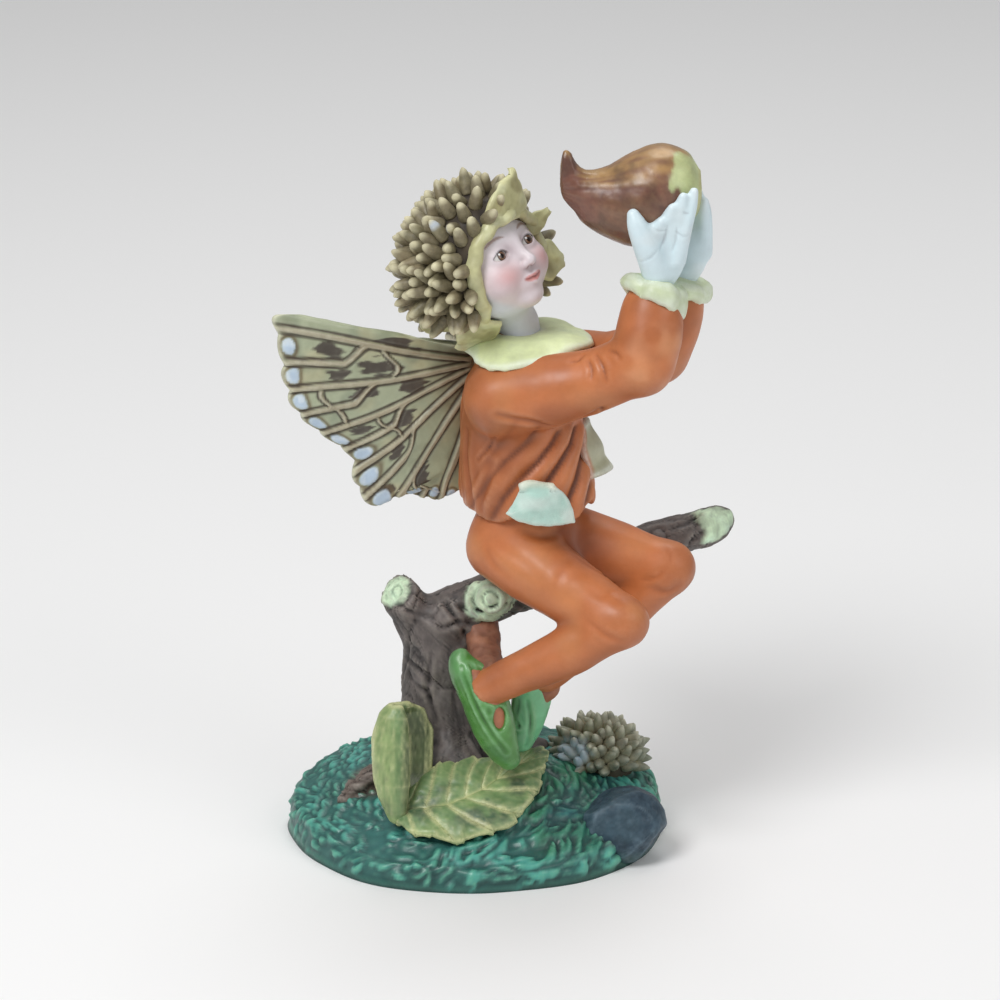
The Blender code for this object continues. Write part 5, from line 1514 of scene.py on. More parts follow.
# each pleat's groove as the front camera sees it: how far across at each height down
FOLD_DOWN = (408, 426, 444, 462, 480, 500, 525)
FOLD_LINES = (
    (500, 488, 474, 462, 452, 444, 438), (522, 514, 500, 486, 474, 462, 452),
    (548, 541, 526, 504, 488, 474, 462),
    (566, 563, 553, 539, 520, 502, 488), (580, 577, 573, 562, 550, 536, 524),
    (592, 587, 585, 583, 579, 571, 562),
    (603, 601, 600, 597, 593, 589, 584), (618, 618, 617, 615, 611, 607, 602),
)
FOLD_DEPTHS = (0.0, 0.12, 0.50, 0.72, 0.95, 1.0, 0.85, 0.0)


def front_folds(points, normals):
    """Lift for long rounded pleats that sweep down from under the near arm, and painted shade for their
    grooves.
    """
    across, down, _ = seen_at(points)
    lines = [np.interp(down, FOLD_DOWN, line) for line in FOLD_LINES]
    place = sum(np.clip((across - left) / (right - left), 0, 1) for left, right in zip(lines, lines[1:]))
    strength = np.interp(place, np.arange(len(FOLD_LINES)), FOLD_DEPTHS)
    under_arm = np.interp(across, (470, 500, 530, 558, 574, 590, 604), (404, 412, 422, 428, 424, 418, 404))
    strength = strength * step_up(0, 6, down - under_arm) * step_up(0.05, 0.35, normals @ FRONT_BACK)
    strength = strength * np.interp(down, (500, 530), (1.0, 0.55))
    ridge = np.sin(np.pi * place) ** 2
    return strength * (1.30 * (ridge + 0.01) ** 0.42 - 0.90), strength * step_up(0.22, 0.0, ridge)


def make_tunic():
    clay = Clay((-9, -18, 44), (33, 14, 85), 0.37)
    clay.add(tunic_form(0.35))
    clay.add(limb(((*(NECK - UP * 8), 5.6), (*(NECK - UP * 3.5), 4.6), (*(NECK + UP * 0.5), 3.2)), 1), 1.5)
    for arm in (NEAR_ARM, FAR_ARM):
        start, elbow, wrist, _ = arm_points(arm)
        upper, fore = arm["upper"], arm["fore"]
        clay.add(limb((
            (*(start - upper * 1.0 - UP * 0.4), 5.1), (*(start + upper * 5.0 - UP * 0.8), 4.9),
            (*(start + upper * 11.0 - UP * 1.2), 4.3), (*(elbow - upper * 3.0 - UP * 0.7), 4.05),
            (*(elbow + upper * 0.2 - UP * 0.3), 4.15),
        )), 2.0)
        clay.add(limb((
            (*(elbow + upper * 0.3 - UP * 0.6), 4.2), (*(elbow + fore * 3.2 + upper * 0.5), 4.35),
            (*(elbow + fore * 6.6 + upper * 0.2), 3.9), (*(wrist - fore * 2.3), 3.2),
        )), 1.0)
    clay.carve(tunic_form(1.6, -0.2, 0.06), 0.3)
    points, faces = clay.surface()
    normals = normals_of(points, faces)
    points = raised(points, normals, 0.12 * layered_grain(points, (4, 4, 7), 2, 110))
    pleats, crease_shade = front_folds(points, normals)
    points = relax(points + normals * pleats[:, None], faces, 2)
    normals = normals_of(points, faces)
    points = tooled(points, normals, (
        (((497, 415), (515, 419), (534, 423), (557, 428), (573, 424), (588, 420), (601, 409)), 0.34, 0.5),
        (((588, 361), (592, 370), (592, 379)), 0.2, 0.36),
        (((597, 354), (603, 367), (606, 379)), 0.24, 0.36),
        (((610, 350), (616, 354), (620, 359)), 0.18, 0.36),
        (((572, 361), (578, 360), (583, 356)), 0.16, 0.36),
        (((495, 438), (488, 448), (478, 458)), 0.22, 0.3),
    ), ridge_share=0.3, taper=0.3)
    normals = normals_of(points, faces)
    for turn, top, bottom, depth in (
        (140, 0.62, 0.02, 0.55), (165, 0.40, 0.02, 0.45), (190, 0.55, 0.02, 0.55), (215, 0.66, 0.03, 0.5),
        (240, 0.5, 0.02, 0.45), (110, 0.6, 0.02, 0.5), (85, 0.5, 0.02, 0.45), (60, 0.45, 0.02, 0.45),
        (262, 0.35, 0.02, 0.4), (35, 0.4, 0.02, 0.4),
    ):
        shares = np.linspace(top, bottom, 5)
        turns = np.radians(turn + 6 * np.sin(shares * 9 + turn))
        path = tunic_point(shares, turns)
        points = points + normals * stroke(points, normals, path, depth, 0.65, depth * 0.5, 0.35)[:, None]
    paint = cloth_colours(points, 112)
    normals = normals_of(points, faces)
    # painted shade on the faces that point down
    paint = mix(paint, (0.26, 0.066, 0.024), step_up(0.1, -0.85, normals[:, 2]) * 0.35)
    across, down, _ = seen_at(points)
    shade = step_up(530, 476, across) * step_up(385, 420, down) * step_up(0.1, 0.4, normals @ FRONT_BACK)
    paint = mix(paint, (0.250, 0.070, 0.020), shade * 0.6)
    # painted shade in the grooves of the pleats
    paint = mix(paint, (0.100, 0.026, 0.014), crease_shade * 0.75)
    elbow = arm_points(NEAR_ARM)[1]
    pale_sleeve = step_up(5.6, 3.8, apart(points, elbow + at(2.6, -3.2, 1.0)))
    pale_sleeve = pale_sleeve * step_up(0.0, 0.7, grain(points, 1.8, 44) + 0.3) * 0.45
    paint = mix(paint, (0.66, 0.30, 0.15), pale_sleeve)
    piece("tunic", points, faces, CLOTH, paint, reach=1.1)


def sheet_values(values, closed=False):
    """Values of a grid of middle points, laid out as thick_sheet lays out its points."""
    inner = np.ones(values.shape[:2], bool)
    inner[:, 0] = inner[:, -1] = False
    if not closed:
        inner[0] = inner[-1] = False
    inner = inner.ravel()
    flat = values.reshape(inner.size, -1)
    return np.concatenate((flat, flat[inner])).squeeze()


def make_hem_corner():
    """Hem corner that is turned up and shows its pale lining."""
    rows, columns = 64, 78
    i, j = np.meshgrid(np.linspace(0, 1, rows), np.linspace(0, 1, columns), indexing="ij")
    top = along_curve(((520, 484), (529, 480), (541, 482), (552, 483)), j[0])
    low = along_curve(((506, 513), (520, 521), (546, 526), (575, 523)), j[0])
    left = along_curve(((520, 484), (520, 492), (514, 503), (506, 513)), i[:, 0])
    right = along_curve(((552, 483), (562, 493), (571, 507), (575, 523)), i[:, 0])
    seen = (
        (1 - i)[..., None] * top + i[..., None] * low + (1 - j)[..., None] * left[:, None]
        + j[..., None] * right[:, None]
    )
    for weight, corner in (
        ((1 - i) * (1 - j), top[0]), ((1 - i) * j, top[-1]), (i * (1 - j), low[0]), (i * j, low[-1]),
    ):
        seen = seen - weight[..., None] * corner
    edge = np.maximum(np.abs(2 * i - 1), np.abs(2 * j - 1))
    # the patch lies on the tunic where the front camera sees it
    share, angle = np.meshgrid(
        np.linspace(0, 0.4, 120), np.radians(np.linspace(-110, 40, 240)), indexing="ij",
    )
    *spots, depth = seen_at(tunic_point(share, angle).reshape(-1, 3))
    spots = np.stack(spots, -1)
    flat = seen.reshape(-1, 2)
    gap = ((flat[:, None] - spots) ** 2).sum(2)
    near = np.argpartition(gap, 6, axis=1)[:, :6]
    weight = 1 / (0.3 + np.take_along_axis(gap, near, 1))
    far = ((depth[near] * weight).sum(1) / weight.sum(1)).reshape(i.shape)
    curled = 0.9 * step_up(0.35, 0.0, i) * (0.6 + 0.4 * np.sin(7 * j))
    far = far - (0.9 + 0.5 * (1 - edge ** 3) + curled + 0.5 * i)
    way = sight(seen[..., :1], seen[..., 1:])
    middle = FRONT_EYE + way * (far / (way @ -FRONT_BACK))[..., None]
    points, faces = thick_sheet(middle, 1.25, edge=6)
    normals = normals_of(points, faces)
    points = raised(points, normals, 0.08 * layered_grain(points, 1.6, 2, 61))
    paint = flat_paint(points, (0.44, 0.66, 0.58))
    paint = mix(paint, (0.62, 0.74, 0.68), step_up(0.0, 0.6, grain(points, 2.2, 62)) * 0.8)
    paint = mix(paint, (0.66, 0.62, 0.42), step_up(0.25, 0.02, sheet_values(i)) * 0.7)
    piece("turned_hem_corner", points, faces, LINING, paint, reach=0.6)


def make_far_flap():
    """Loose front edge of the tunic that stands away on the far side."""
    rows, columns = 66, 52
    i, s = np.meshgrid(np.linspace(0, 1, rows), np.linspace(0, 1, columns), indexing="ij")
    share = 0.18 + 0.34 * i
    angle = np.radians(10 + 27 * s + 3 * np.sin(9 * i))
    lift = -0.6 + 2.9 * s * (1 - 0.8 * i) + 0.22 * np.sin(11 * i + 2) * s
    points, faces = thick_sheet(tunic_point(share, angle, lift), 1.15, edge=5)
    paint = flat_paint(points, (0.42, 0.42, 0.28))
    paint = mix(
        paint, (0.45, 0.14, 0.05), step_up(0.22, 0.06, sheet_values(s) + 0.05 * grain(points, 1.2, 4)),
    )
    piece("far_flap", points, faces, LINING, paint, reach=0.7)


def make_collar():
    around, deep = 220, 32
    a, s = np.meshgrid(2 * np.pi * np.arange(around) / around, np.linspace(0, 1, deep), indexing="ij")
    reach = 2.72 + (8.4 - 2.72) * s + 0.35 * s * np.sin(4 * a + 0.8)
    reach = reach + s * (0.9 * np.cos(a - 0.1) + 0.9 * np.cos(a + 1.4)).clip(0)
    drop = 2.3 * s ** 1.6 + 0.55 * s * np.sin(3 * a - 0.6) + 0.14 * s ** 2 * np.sin(7 * a + 0.4)
    drop = (
        drop - 2.0 * s * np.clip(np.cos(a - 0.75), 0, 1) ** 2
        - 1.0 * s * np.clip(np.cos(a + 0.75), 0, 1) ** 2
    )
    middle = (
        NECK + UP * (1.6 - drop)[..., None] + BODY_FORWARD * s[..., None]
        + BODY_FORWARD * (reach * np.cos(a))[..., None] + BODY_LEFT * (reach * np.sin(a))[..., None]
    )
    points, faces = thick_sheet(middle, 1.1, closed=True, edge=4)
    normals = normals_of(points, faces)
    points = raised(points, normals, 0.10 * layered_grain(points, 2.4, 2, 71))
    points = tooled(points, normals, (
        (((488, 350), (492, 362), (491, 376)), 0.34, 0.45),
        (((502, 350), (506, 362), (506, 375)), 0.3, 0.45),
        (((522, 340), (524, 352), (520, 366)), 0.3, 0.45),
        (((538, 330), (542, 340), (538, 350)), 0.28, 0.45),
        (((556, 322), (560, 330), (556, 340)), 0.24, 0.45),
        (((478, 345), (478, 358), (474, 368)), 0.26, 0.45),
    ), ridge=0.16)
    paint = flat_paint(points, (0.70, 0.78, 0.44))
    share = sheet_values(s, closed=True)
    paint = mix(paint, (0.58, 0.60, 0.36), step_up(0.35, 0.05, share) * 0.8)
    paint = mix(paint, (0.64, 0.74, 0.56), step_up(0.1, 0.7, grain(points, 3.0, 73)) * 0.6)
    # painted shade under the collar's outer edge
    paint = mix(
        paint, (0.16, 0.10, 0.05),
        step_up(0.955, 1.0, share) * step_up(0.2, -0.5, normals_of(points, faces)[:, 2]) * 0.8,
    )
    piece("wavy_collar", points, faces, LINING, paint, reach=0.6)


def make_cuffs():
    parts = []
    for arm in (NEAR_ARM, FAR_ARM):
        wrist = arm_points(arm)[2]
        along = arm["fore"]
        wide = unit(np.cross(along, heading(0.0)))
        deep = np.cross(along, wide)
        a, s = np.meshgrid(2 * np.pi * np.arange(130) / 130, np.linspace(0, 1, 24), indexing="ij")
        reach = np.interp(s, (0, 0.5, 1), (0.32, 0.88, 1.0))
        lift = (
            np.interp(s, (0, 0.25, 0.5, 0.8, 1), (0.5, 0.55, 0.1, -1.2, -2.3))
            - 1.5 * s ** 2 * np.cos(a - arm['droop'])
        )
        frill = 0.42 * np.sin(4 * a + 0.5) * s + 0.16 * np.sin(9 * a) * s ** 2
        way = wide * np.cos(a)[..., None] + deep * np.sin(a)[..., None]
        middle = wrist + way * (3.8 * reach + frill)[..., None] + along * (lift + 0.8 * frill)[..., None]
        parts.append(thick_sheet(middle, 1.9, closed=True, edge=7))
    points, faces = merged(parts)
    normals = normals_of(points, faces)
    points = raised(points, normals, 0.09 * layered_grain(points, 1.8, 2, 81))
    paint = flat_paint(points, (0.58, 0.66, 0.42))
    paint = mix(paint, (0.66, 0.74, 0.56), step_up(0.0, 0.6, grain(points, 1.8, 82)) * 0.7)
    piece("ruffled_cuffs", points, faces, LINING, paint, reach=0.5)


# Figure: hands and nut

SKIN = painted(
    "skin_paint", (0.17, 0.13, 0.15), (0.84, 0.86, 0.92), wash_amount=0.45, brush_amount=0.25,
    mottle=0.06, mottle_size=300.0, roughness=0.42, swing=0.06, grain_amount=0.15, pits=0.05, bump=0.12,
    coat=0.15,
)


NEAR_TIPS = (at(23.7, -12.3, 91.2), at(25.1, -12.3, 93.0), at(26.5, -12.0, 94.4), at(27.9, -11.4, 94.9))


def make_hands():
    parts = []
    for arm, low, high in ((NEAR_ARM, (17, -16, 77), (32, -3, 98)), (FAR_ARM, (20, -11, 76), (34.5, 3, 98))):
        side = arm["side"]
        wrist = arm_points(arm)[2]
        hand = arm["hand"]
        palm_way = BODY_LEFT * -side
        palm_way = unit(palm_way - hand * (palm_way @ hand))
        across = np.cross(hand, palm_way)
        across = across if across @ heading(180.0) > 0 else -across
        clay = Clay(low, high, 0.195)
        clay.add(limb(((*(wrist - hand * 1.5), 1.9), (*(wrist + hand * 1.6), 2.0)), 1))
        clay.add(egg(wrist + hand * 4.8, (4.6, 3.15, 1.75), np.array((hand, across, palm_way))), 0.8)
        tips = NEAR_TIPS if side < 0 else [
            wrist + hand * (PALM_LENGTH + FINGER_LENGTH * long) + across * place * 0.85 + palm_way * 0.9
            for place, long in ((1.9, 0.74), (0.65, 0.92), (-0.65, 0.98), (-1.9, 0.84))
        ]
        for k, tip in enumerate(tips):
            base = wrist + hand * 5.2 + across * (2.3 - 1.5 * k) - palm_way * 0.5
            middle = 0.5 * (base + tip) - palm_way * 0.15
            clay.add(
                limb(
                    (
                        (*base, 1.20), (*(0.5 * (base + middle)), 1.15), (*middle, 1.06),
                        (*(0.4 * middle + 0.6 * tip), 0.92), (*tip, 0.60),
                    ),
                    5,
                ),
                0.55,
            )
        if side < 0:
            clay.add(
                limb(
                    (
                        (23.3, -10.6, 84.0, 2.0), (21.9, -11.8, 87.6, 1.75), (20.7, -12.3, 90.4, 1.35),
                        (20.1, -12.1, 92.0, 0.85),
                    ),
                    5,
                ),
                1.1,
            )
        else:
            thumb = wrist + hand * 3.0 + across * 1.8
            clay.add(
                limb(
                    (
                        (*thumb, 1.5), (*(thumb + hand * 3.0 + across * 1.2), 1.2),
                        (*(thumb + hand * 6.0 + across * 1.4 + palm_way * 0.6), 0.8),
                    ),
                    5,
                ),
                0.8,
            )
        parts.append(clay.surface())
    points, faces = merged(parts)
    normals = normals_of(points, faces)
    points = tooled(points, normals, (
        (((682, 212), (686, 214), (690, 213)), 0.1, 0.2),
        (((676, 232), (684, 236), (690, 234)), 0.12, 0.2),
        (((655, 228), (660, 231), (666, 230)), 0.1, 0.2),
        (((640, 262), (650, 258), (658, 250)), 0.14, 0.2),
        (((660, 250), (664, 240), (667, 226)), 0.12, 0.2),
        (((672, 250), (675, 240), (677, 228)), 0.12, 0.2),
    ))
    paint = flat_paint(points, (0.66, 0.80, 0.85))
    paint = mix(paint, (0.74, 0.82, 0.84), step_up(0.0, 0.6, grain(points, 3.0, 92)) * 0.6)
    piece("hands", points, faces, SKIN, paint, reach=0.45)


NUT = painted(
    "nut_paint", (0.022, 0.010, 0.006), (0.50, 0.36, 0.17), wash_amount=0.8, brush_amount=0.3,
    mottle=0.25, mottle_size=330.0, roughness=0.40, grain_amount=0.4, bump=0.3, coat=0.3,
)
# share of the length, lift, half height and half depth
NUT_PROFILE = (
    (0.0, 0.04, 0.42, 0.42), (0.107, 0.035, 0.80, 0.80), (0.285, 0.0, 1.0, 1.0), (0.46, -0.035, 0.94, 0.95),
    (0.66, -0.070, 0.69, 0.72), (0.80, -0.045, 0.54, 0.50), (0.88, 0.020, 0.47, 0.36),
    (0.93, 0.085, 0.50, 0.27),
    (0.965, 0.120, 0.47, 0.22), (0.99, 0.150, 0.36, 0.18), (1.0, 0.165, 0.24, 0.13),
)
NUT_LENGTH, NUT_RADIUS = 18.2, 6.75


def make_nut():
    along = heading(183.0, 4.0)
    knuckles = arm_points(NEAR_ARM)[3]
    start = knuckles + at(-1.2, 3.5, 4.7) + heading(3.0) * 5.4
    across = unit(np.cross(UP, along))
    rise = np.cross(along, across)
    sides = 150
    rows = along_curve(NUT_PROFILE, np.linspace(0, 1, 120))
    a = 2 * np.pi * np.arange(sides) / sides
    rings = []
    for share, lift, tall, deep in rows:
        centre = start + along * share * NUT_LENGTH + rise * lift * NUT_LENGTH
        rings.append(
            centre
            + NUT_RADIUS * (tall * rise * np.cos(a)[:, None] + 0.86 * deep * across * np.sin(a)[:, None])
        )
    points, faces = loft(
        rings, start - along * 0.5, start + along * NUT_LENGTH * 1.008 + rise * 0.18 * NUT_LENGTH,
    )
    faces = outward(points, faces)
    normals = normals_of(points, faces)
    share = (points - start) @ along / NUT_LENGTH
    turn = np.arctan2((points - start) @ across, (points - start) @ rise)
    ribs = grain(np.column_stack((2.8 * np.cos(turn), 2.8 * np.sin(turn), share * 1.6)), 0.55, 6)
    points = raised(
        points, normals,
        0.05 * ribs + 0.13 * layered_grain(points, 3.5, 2, 7) + 0.03 * layered_grain(points, 0.6, 2, 8),
    )
    paint = flat_paint(points, (0.160, 0.062, 0.040))
    streaks = grain(np.column_stack((3 * np.cos(turn), 3 * np.sin(turn), share * 2.4)), 0.42, 12)
    lit = step_up(0.40, 1.10, normals @ unit(at(-0.05, -0.20, 1.0)) + 0.30 * streaks)
    paint = mix(paint, (0.40, 0.235, 0.085), lit * 0.9)
    paint = mix(paint, (0.19, 0.085, 0.062), step_up(-0.1, 0.6, streaks) * (1 - lit) * 0.8)
    bulge = apart(points, touched(points, normals, 625, 215), (1.6, 1.2, 0.9))
    paint = mix(paint, (0.20, 0.105, 0.050), step_up(4.0, 1.0, bulge) * 0.5)
    paint = mix(paint, (0.045, 0.020, 0.013), step_up(0.2, 0.7, layered_grain(points, 3.4, 3, 14)) * 0.45)
    pale_spot = touched(points, normals, 690, 178)
    ragged = 0.8 * layered_grain(points, (1.2, 1.2, 2.6), 3, 15)
    scar = step_up(0.16, 0.05, share + 0.035 * ragged)
    patch = step_up(3.4, 2.6, apart(points, pale_spot, (1.0, 1.0, 1.25)) + ragged)
    paint = mix(paint, (0.46, 0.52, 0.25), np.maximum(scar, patch))
    piece("hooked_nut", points, faces, NUT, paint, reach=0.6)


# Figure: head

def in_head(f, l, u):
    """A place given forward, left and up in the head's own frame."""
    return HEAD + FACE * f + HEAD_LEFT * l + CROWN * u


def head_limb(rows, steps=5):
    return limb([(*in_head(f, l, u), r) for f, l, u, r in rows], steps)


HEAD_AXES = np.array((FACE, HEAD_LEFT, CROWN))
EYE_FORWARD, EYE_SIDE, EYE_RISE, EYE_RADIUS = 5.15, 2.75, 0.10, 1.42


def make_head():
    clay = Clay(HEAD - (11, 11, 16), HEAD + (11, 11, 10), 0.185)
    clay.add(egg(in_head(-0.4, 0, 1.0), (7.5, 7.0, 7.5), HEAD_AXES))
    clay.add(egg(in_head(0.9, 0, -2.9), (5.9, 5.4, 5.3), HEAD_AXES), 2.2)
    for side in (-1, 1):
        clay.add(egg(in_head(4.1, side * 3.0, -2.7), (2.7, 2.6, 2.4), HEAD_AXES), 1.6)
    clay.add(egg(in_head(4.9, 0, -6.3), (1.7, 1.8, 1.5), HEAD_AXES), 1.3)
    clay.add(egg(in_head(6.1, 0, -4.4), (1.0, 1.9, 1.1), HEAD_AXES), 0.9)
    for side in (-1, 1):
        clay.carve(egg(in_head(7.6, side * EYE_SIDE, EYE_RISE), (1.5, 2.0, 1.25), HEAD_AXES), 1.1)
    clay.add(
        head_limb(((6.6, 0, 1.1, 0.75), (7.1, 0, -0.4, 0.62), (7.75, 0, -1.5, 0.66), (7.95, 0, -2.0, 0.80))),
        0.8,
    )
    for side in (-1, 1):
        clay.add(egg(in_head(7.45, side * 0.78, -2.25), (0.62, 0.5, 0.5), HEAD_AXES), 0.3)
        clay.carve(egg(in_head(7.75, side * 0.40, -2.72), (0.42, 0.20, 0.24), HEAD_AXES), 0.12)
    for side in (-1, 1):
        centre = in_head(EYE_FORWARD, side * EYE_SIDE, EYE_RISE)
        clay.add(egg(centre, (EYE_RADIUS + 0.20,) * 3), 0.45)

        def almond(p, centre=centre):
            offset = p - centre
            level = offset @ HEAD_LEFT / 1.28
            arch = np.clip(1 - level ** 2, 0, 1)
            rise = offset @ CROWN
            gap = np.maximum(rise - 0.66 * arch, -0.50 * arch - rise)
            return np.maximum(np.maximum(gap, (np.abs(level) - 1) * 1.28), 0.5 - offset @ FACE) * 0.8

        clay.carve((almond, centre - 2.4, centre + 2.4), 0.08)
    clay.add(
        head_limb((
            (6.75, -1.35, -4.15, 0.22), (7.15, -0.5, -3.98, 0.36), (7.18, 0, -4.08, 0.32),
            (7.15, 0.5, -3.98, 0.36), (6.75, 1.35, -4.15, 0.22),
        )),
        0.2,
    )
    clay.add(head_limb(((6.70, -1.1, -4.42, 0.20), (7.05, 0, -4.72, 0.42), (6.70, 1.1, -4.42, 0.20))), 0.2)
    clay.add(
        limb(((*(NECK - UP * 2.5), 3.3), (*(NECK + UP * 3.0), 2.9), (*in_head(-1.0, 0, -5.0), 3.0)), 3), 1.2,
    )
    points, faces = clay.surface()
    normals = normals_of(points, faces)
    offset = (points - HEAD) @ HEAD_AXES.T
    f, l, u = offset.T
    ahead = step_up(2.0, 5.0, f)
    mouth = [
        in_head(6.9, -1.35, -4.22), in_head(7.45, -0.5, -4.32), in_head(7.5, 0, -4.38),
        in_head(7.45, 0.5, -4.32), in_head(6.9, 1.35, -4.22),
    ]
    points = points + normals * stroke(points, normals, mouth, 0.20, 0.16)[:, None]
    face_paint = (0.72, 0.64, 0.67)
    paint = flat_paint(points, face_paint)
    paint = mix(paint, (0.68, 0.66, 0.70), ahead * step_up(0.5, 3.5, u) * 0.7)
    paint = mix(paint, (0.56, 0.62, 0.70), step_up(4.6, 3.0, f) * 0.6)
    for side in (-1, 1):
        gap = np.sqrt(((l - side * 3.5) / 1.9) ** 2 + ((u + 2.6) / 1.55) ** 2)
        paint = mix(paint, (0.66, 0.25, 0.23), ahead * np.exp(-gap ** 2) * 0.62)
        level = (l - side * EYE_SIDE) / 1.45
        brow_line = EYE_RISE + 1.95 + 0.42 * (1 - level ** 2) - 0.10 * side * level
        thick = 0.20 * np.clip(1.15 - level ** 2, 0, 1)
        brow_mask = ahead * step_up(thick + 0.12, thick * 0.4, np.abs(u - brow_line))
        brow_mask = brow_mask * step_up(1.15, 0.85, np.abs(level)) * 0.75
        paint = mix(paint, (0.24, 0.105, 0.055), brow_mask)
        lash = EYE_RISE + 0.66 * np.clip(1 - (level * 1.45 / 1.28) ** 2, 0, 1)
        lash_mask = ahead * step_up(0.24, 0.08, np.abs(u - lash - 0.06))
        lash_mask = lash_mask * step_up(1.02, 0.80, np.abs(level) * 1.45 / 1.40) * 0.9
        paint = mix(paint, (0.045, 0.022, 0.018), lash_mask)
        low_lid = EYE_RISE - 0.50 * np.clip(1 - (level * 1.45 / 1.28) ** 2, 0, 1)
        paint = mix(
            paint, (0.36, 0.19, 0.16),
            ahead * step_up(0.18, 0.05, np.abs(u - low_lid + 0.04)) * step_up(1.0, 0.7, np.abs(level)) * 0.5,
        )
        paint = mix(
            paint, (0.40, 0.28, 0.30),
            ahead * np.exp(-((l - side * 1.25) / 0.55) ** 2 - ((u - 0.4) / 0.8) ** 2) * 0.3,
        )
        nostril = np.sqrt(((l - side * 0.42) / 0.26) ** 2 + ((u + 2.78) / 0.22) ** 2)
        paint = mix(paint, (0.34, 0.13, 0.11), step_up(6.6, 7.2, f) * np.exp(-nostril ** 2) * 0.6)
    lips = np.sqrt((l / 1.62) ** 2 + ((u + 4.34 - 0.16 * np.abs(l)) / 0.52) ** 2)
    paint = mix(paint, (0.60, 0.150, 0.120), ahead * step_up(1.10, 0.80, lips) * 0.85)
    line = np.abs(u + 4.30 - 0.16 * np.abs(l))
    paint = mix(
        paint, (0.20, 0.030, 0.025), ahead * step_up(0.16, 0.04, line) * step_up(1.7, 1.3, np.abs(l)) * 0.7,
    )
    below = apart(points, in_head(0, 0, -7.5))
    paint = mix(paint, (0.70, 0.74, 0.82), step_up(8.5, 5.0, below) * step_up(5.0, 2.5, f) * 0.8)
    piece("head_and_neck", points, faces, SKIN, paint, reach=0.5)
    eyes = []
    tints = []
    gaze = unit(FACE + 0.05 * CROWN)
    for side in (-1, 1):
        centre = in_head(EYE_FORWARD, side * EYE_SIDE, EYE_RISE)
        eyes.append(ball_points(centre, (HEAD_LEFT, CROWN, FACE), EYE_RADIUS, 72, 64))
        way = unit(eyes[-1][0] - centre)
        angle = np.degrees(np.arccos(np.clip(way @ gaze, -1, 1)))
        tint = flat_paint(way, (0.68, 0.66, 0.64))
        tint = mix(tint, (0.155, 0.070, 0.030), step_up(30.0, 26.0, angle))
        tint = mix(tint, (0.035, 0.016, 0.010), step_up(31.0, 28.0, angle) * step_up(22.0, 26.0, angle))
        tint = mix(tint, (0.008, 0.006, 0.006), step_up(15.0, 12.0, angle))
        glint = unit(gaze + 0.26 * CROWN - 0.24 * HEAD_LEFT)
        tint = mix(
            tint, (0.85, 0.85, 0.85), step_up(7.5, 5.5, np.degrees(np.arccos(np.clip(way @ glint, -1, 1)))),
        )
        tints.append(tint)
    points, faces = merged(eyes)
    piece("painted_eyes", points, faces, EYE_GLOSS, np.vstack(tints), reach=0.3)


EYE_GLOSS = painted(
    "eye_paint", (0.3, 0.25, 0.25), (0.9, 0.9, 0.9), wash_amount=0.0, brush_amount=0.0, mottle=0.03,
    roughness=0.22, swing=0.03, grain_amount=0.05, pits=0.0, bump=0.05, coat=0.6,
)


# Figure: burr hood

HOOD_RADIUS = 8.5
HOOD_CENTRE = HEAD - FACE * 3.0 + CROWN * 0.1
LOBE_PAINT = painted(
    "lobe_paint", (0.10, 0.085, 0.018), (0.80, 0.78, 0.44), wash_amount=0.85, brush_amount=0.45,
    mottle=0.18, mottle_size=400.0, roughness=0.42, grain_amount=0.3, bump=0.25, coat=0.12,
)


def opening_angle(turn):
    return np.interp(np.abs(turn), (0.0, 45.0, 90.0, 130.0, 155.0, 180.0), (29, 36, 55, 70, 104, 118))


def toward(turn, angle):
    """Directions at an angle from straight ahead of the face, turned from the brow towards the left."""
    turn, angle = np.radians(turn), np.radians(angle)
    side = HEAD_LEFT * np.sin(turn)[..., None] + CROWN * np.cos(turn)[..., None]
    return FACE * np.cos(angle)[..., None] + side * np.sin(angle)[..., None]


def outside_opening(way):
    angle = np.degrees(np.arccos(np.clip(way @ FACE, -1, 1)))
    return angle - opening_angle(np.degrees(np.arctan2(way @ HEAD_LEFT, way @ CROWN)))


def skull_reach(way):
    return 1 / np.sqrt(
        ((way @ HEAD_AXES.T) / (HEAD_DEPTH, HEAD_HALF_WIDTH, HEAD_HALF_HEIGHT)) ** 2 @ np.ones(3)
    )


def hood_reach(way):
    offset = HOOD_CENTRE - HEAD
    level = way @ offset
    ball = level + np.sqrt(level ** 2 - offset @ offset + HOOD_RADIUS ** 2)
    return np.maximum(skull_reach(way) + 0.8, ball)


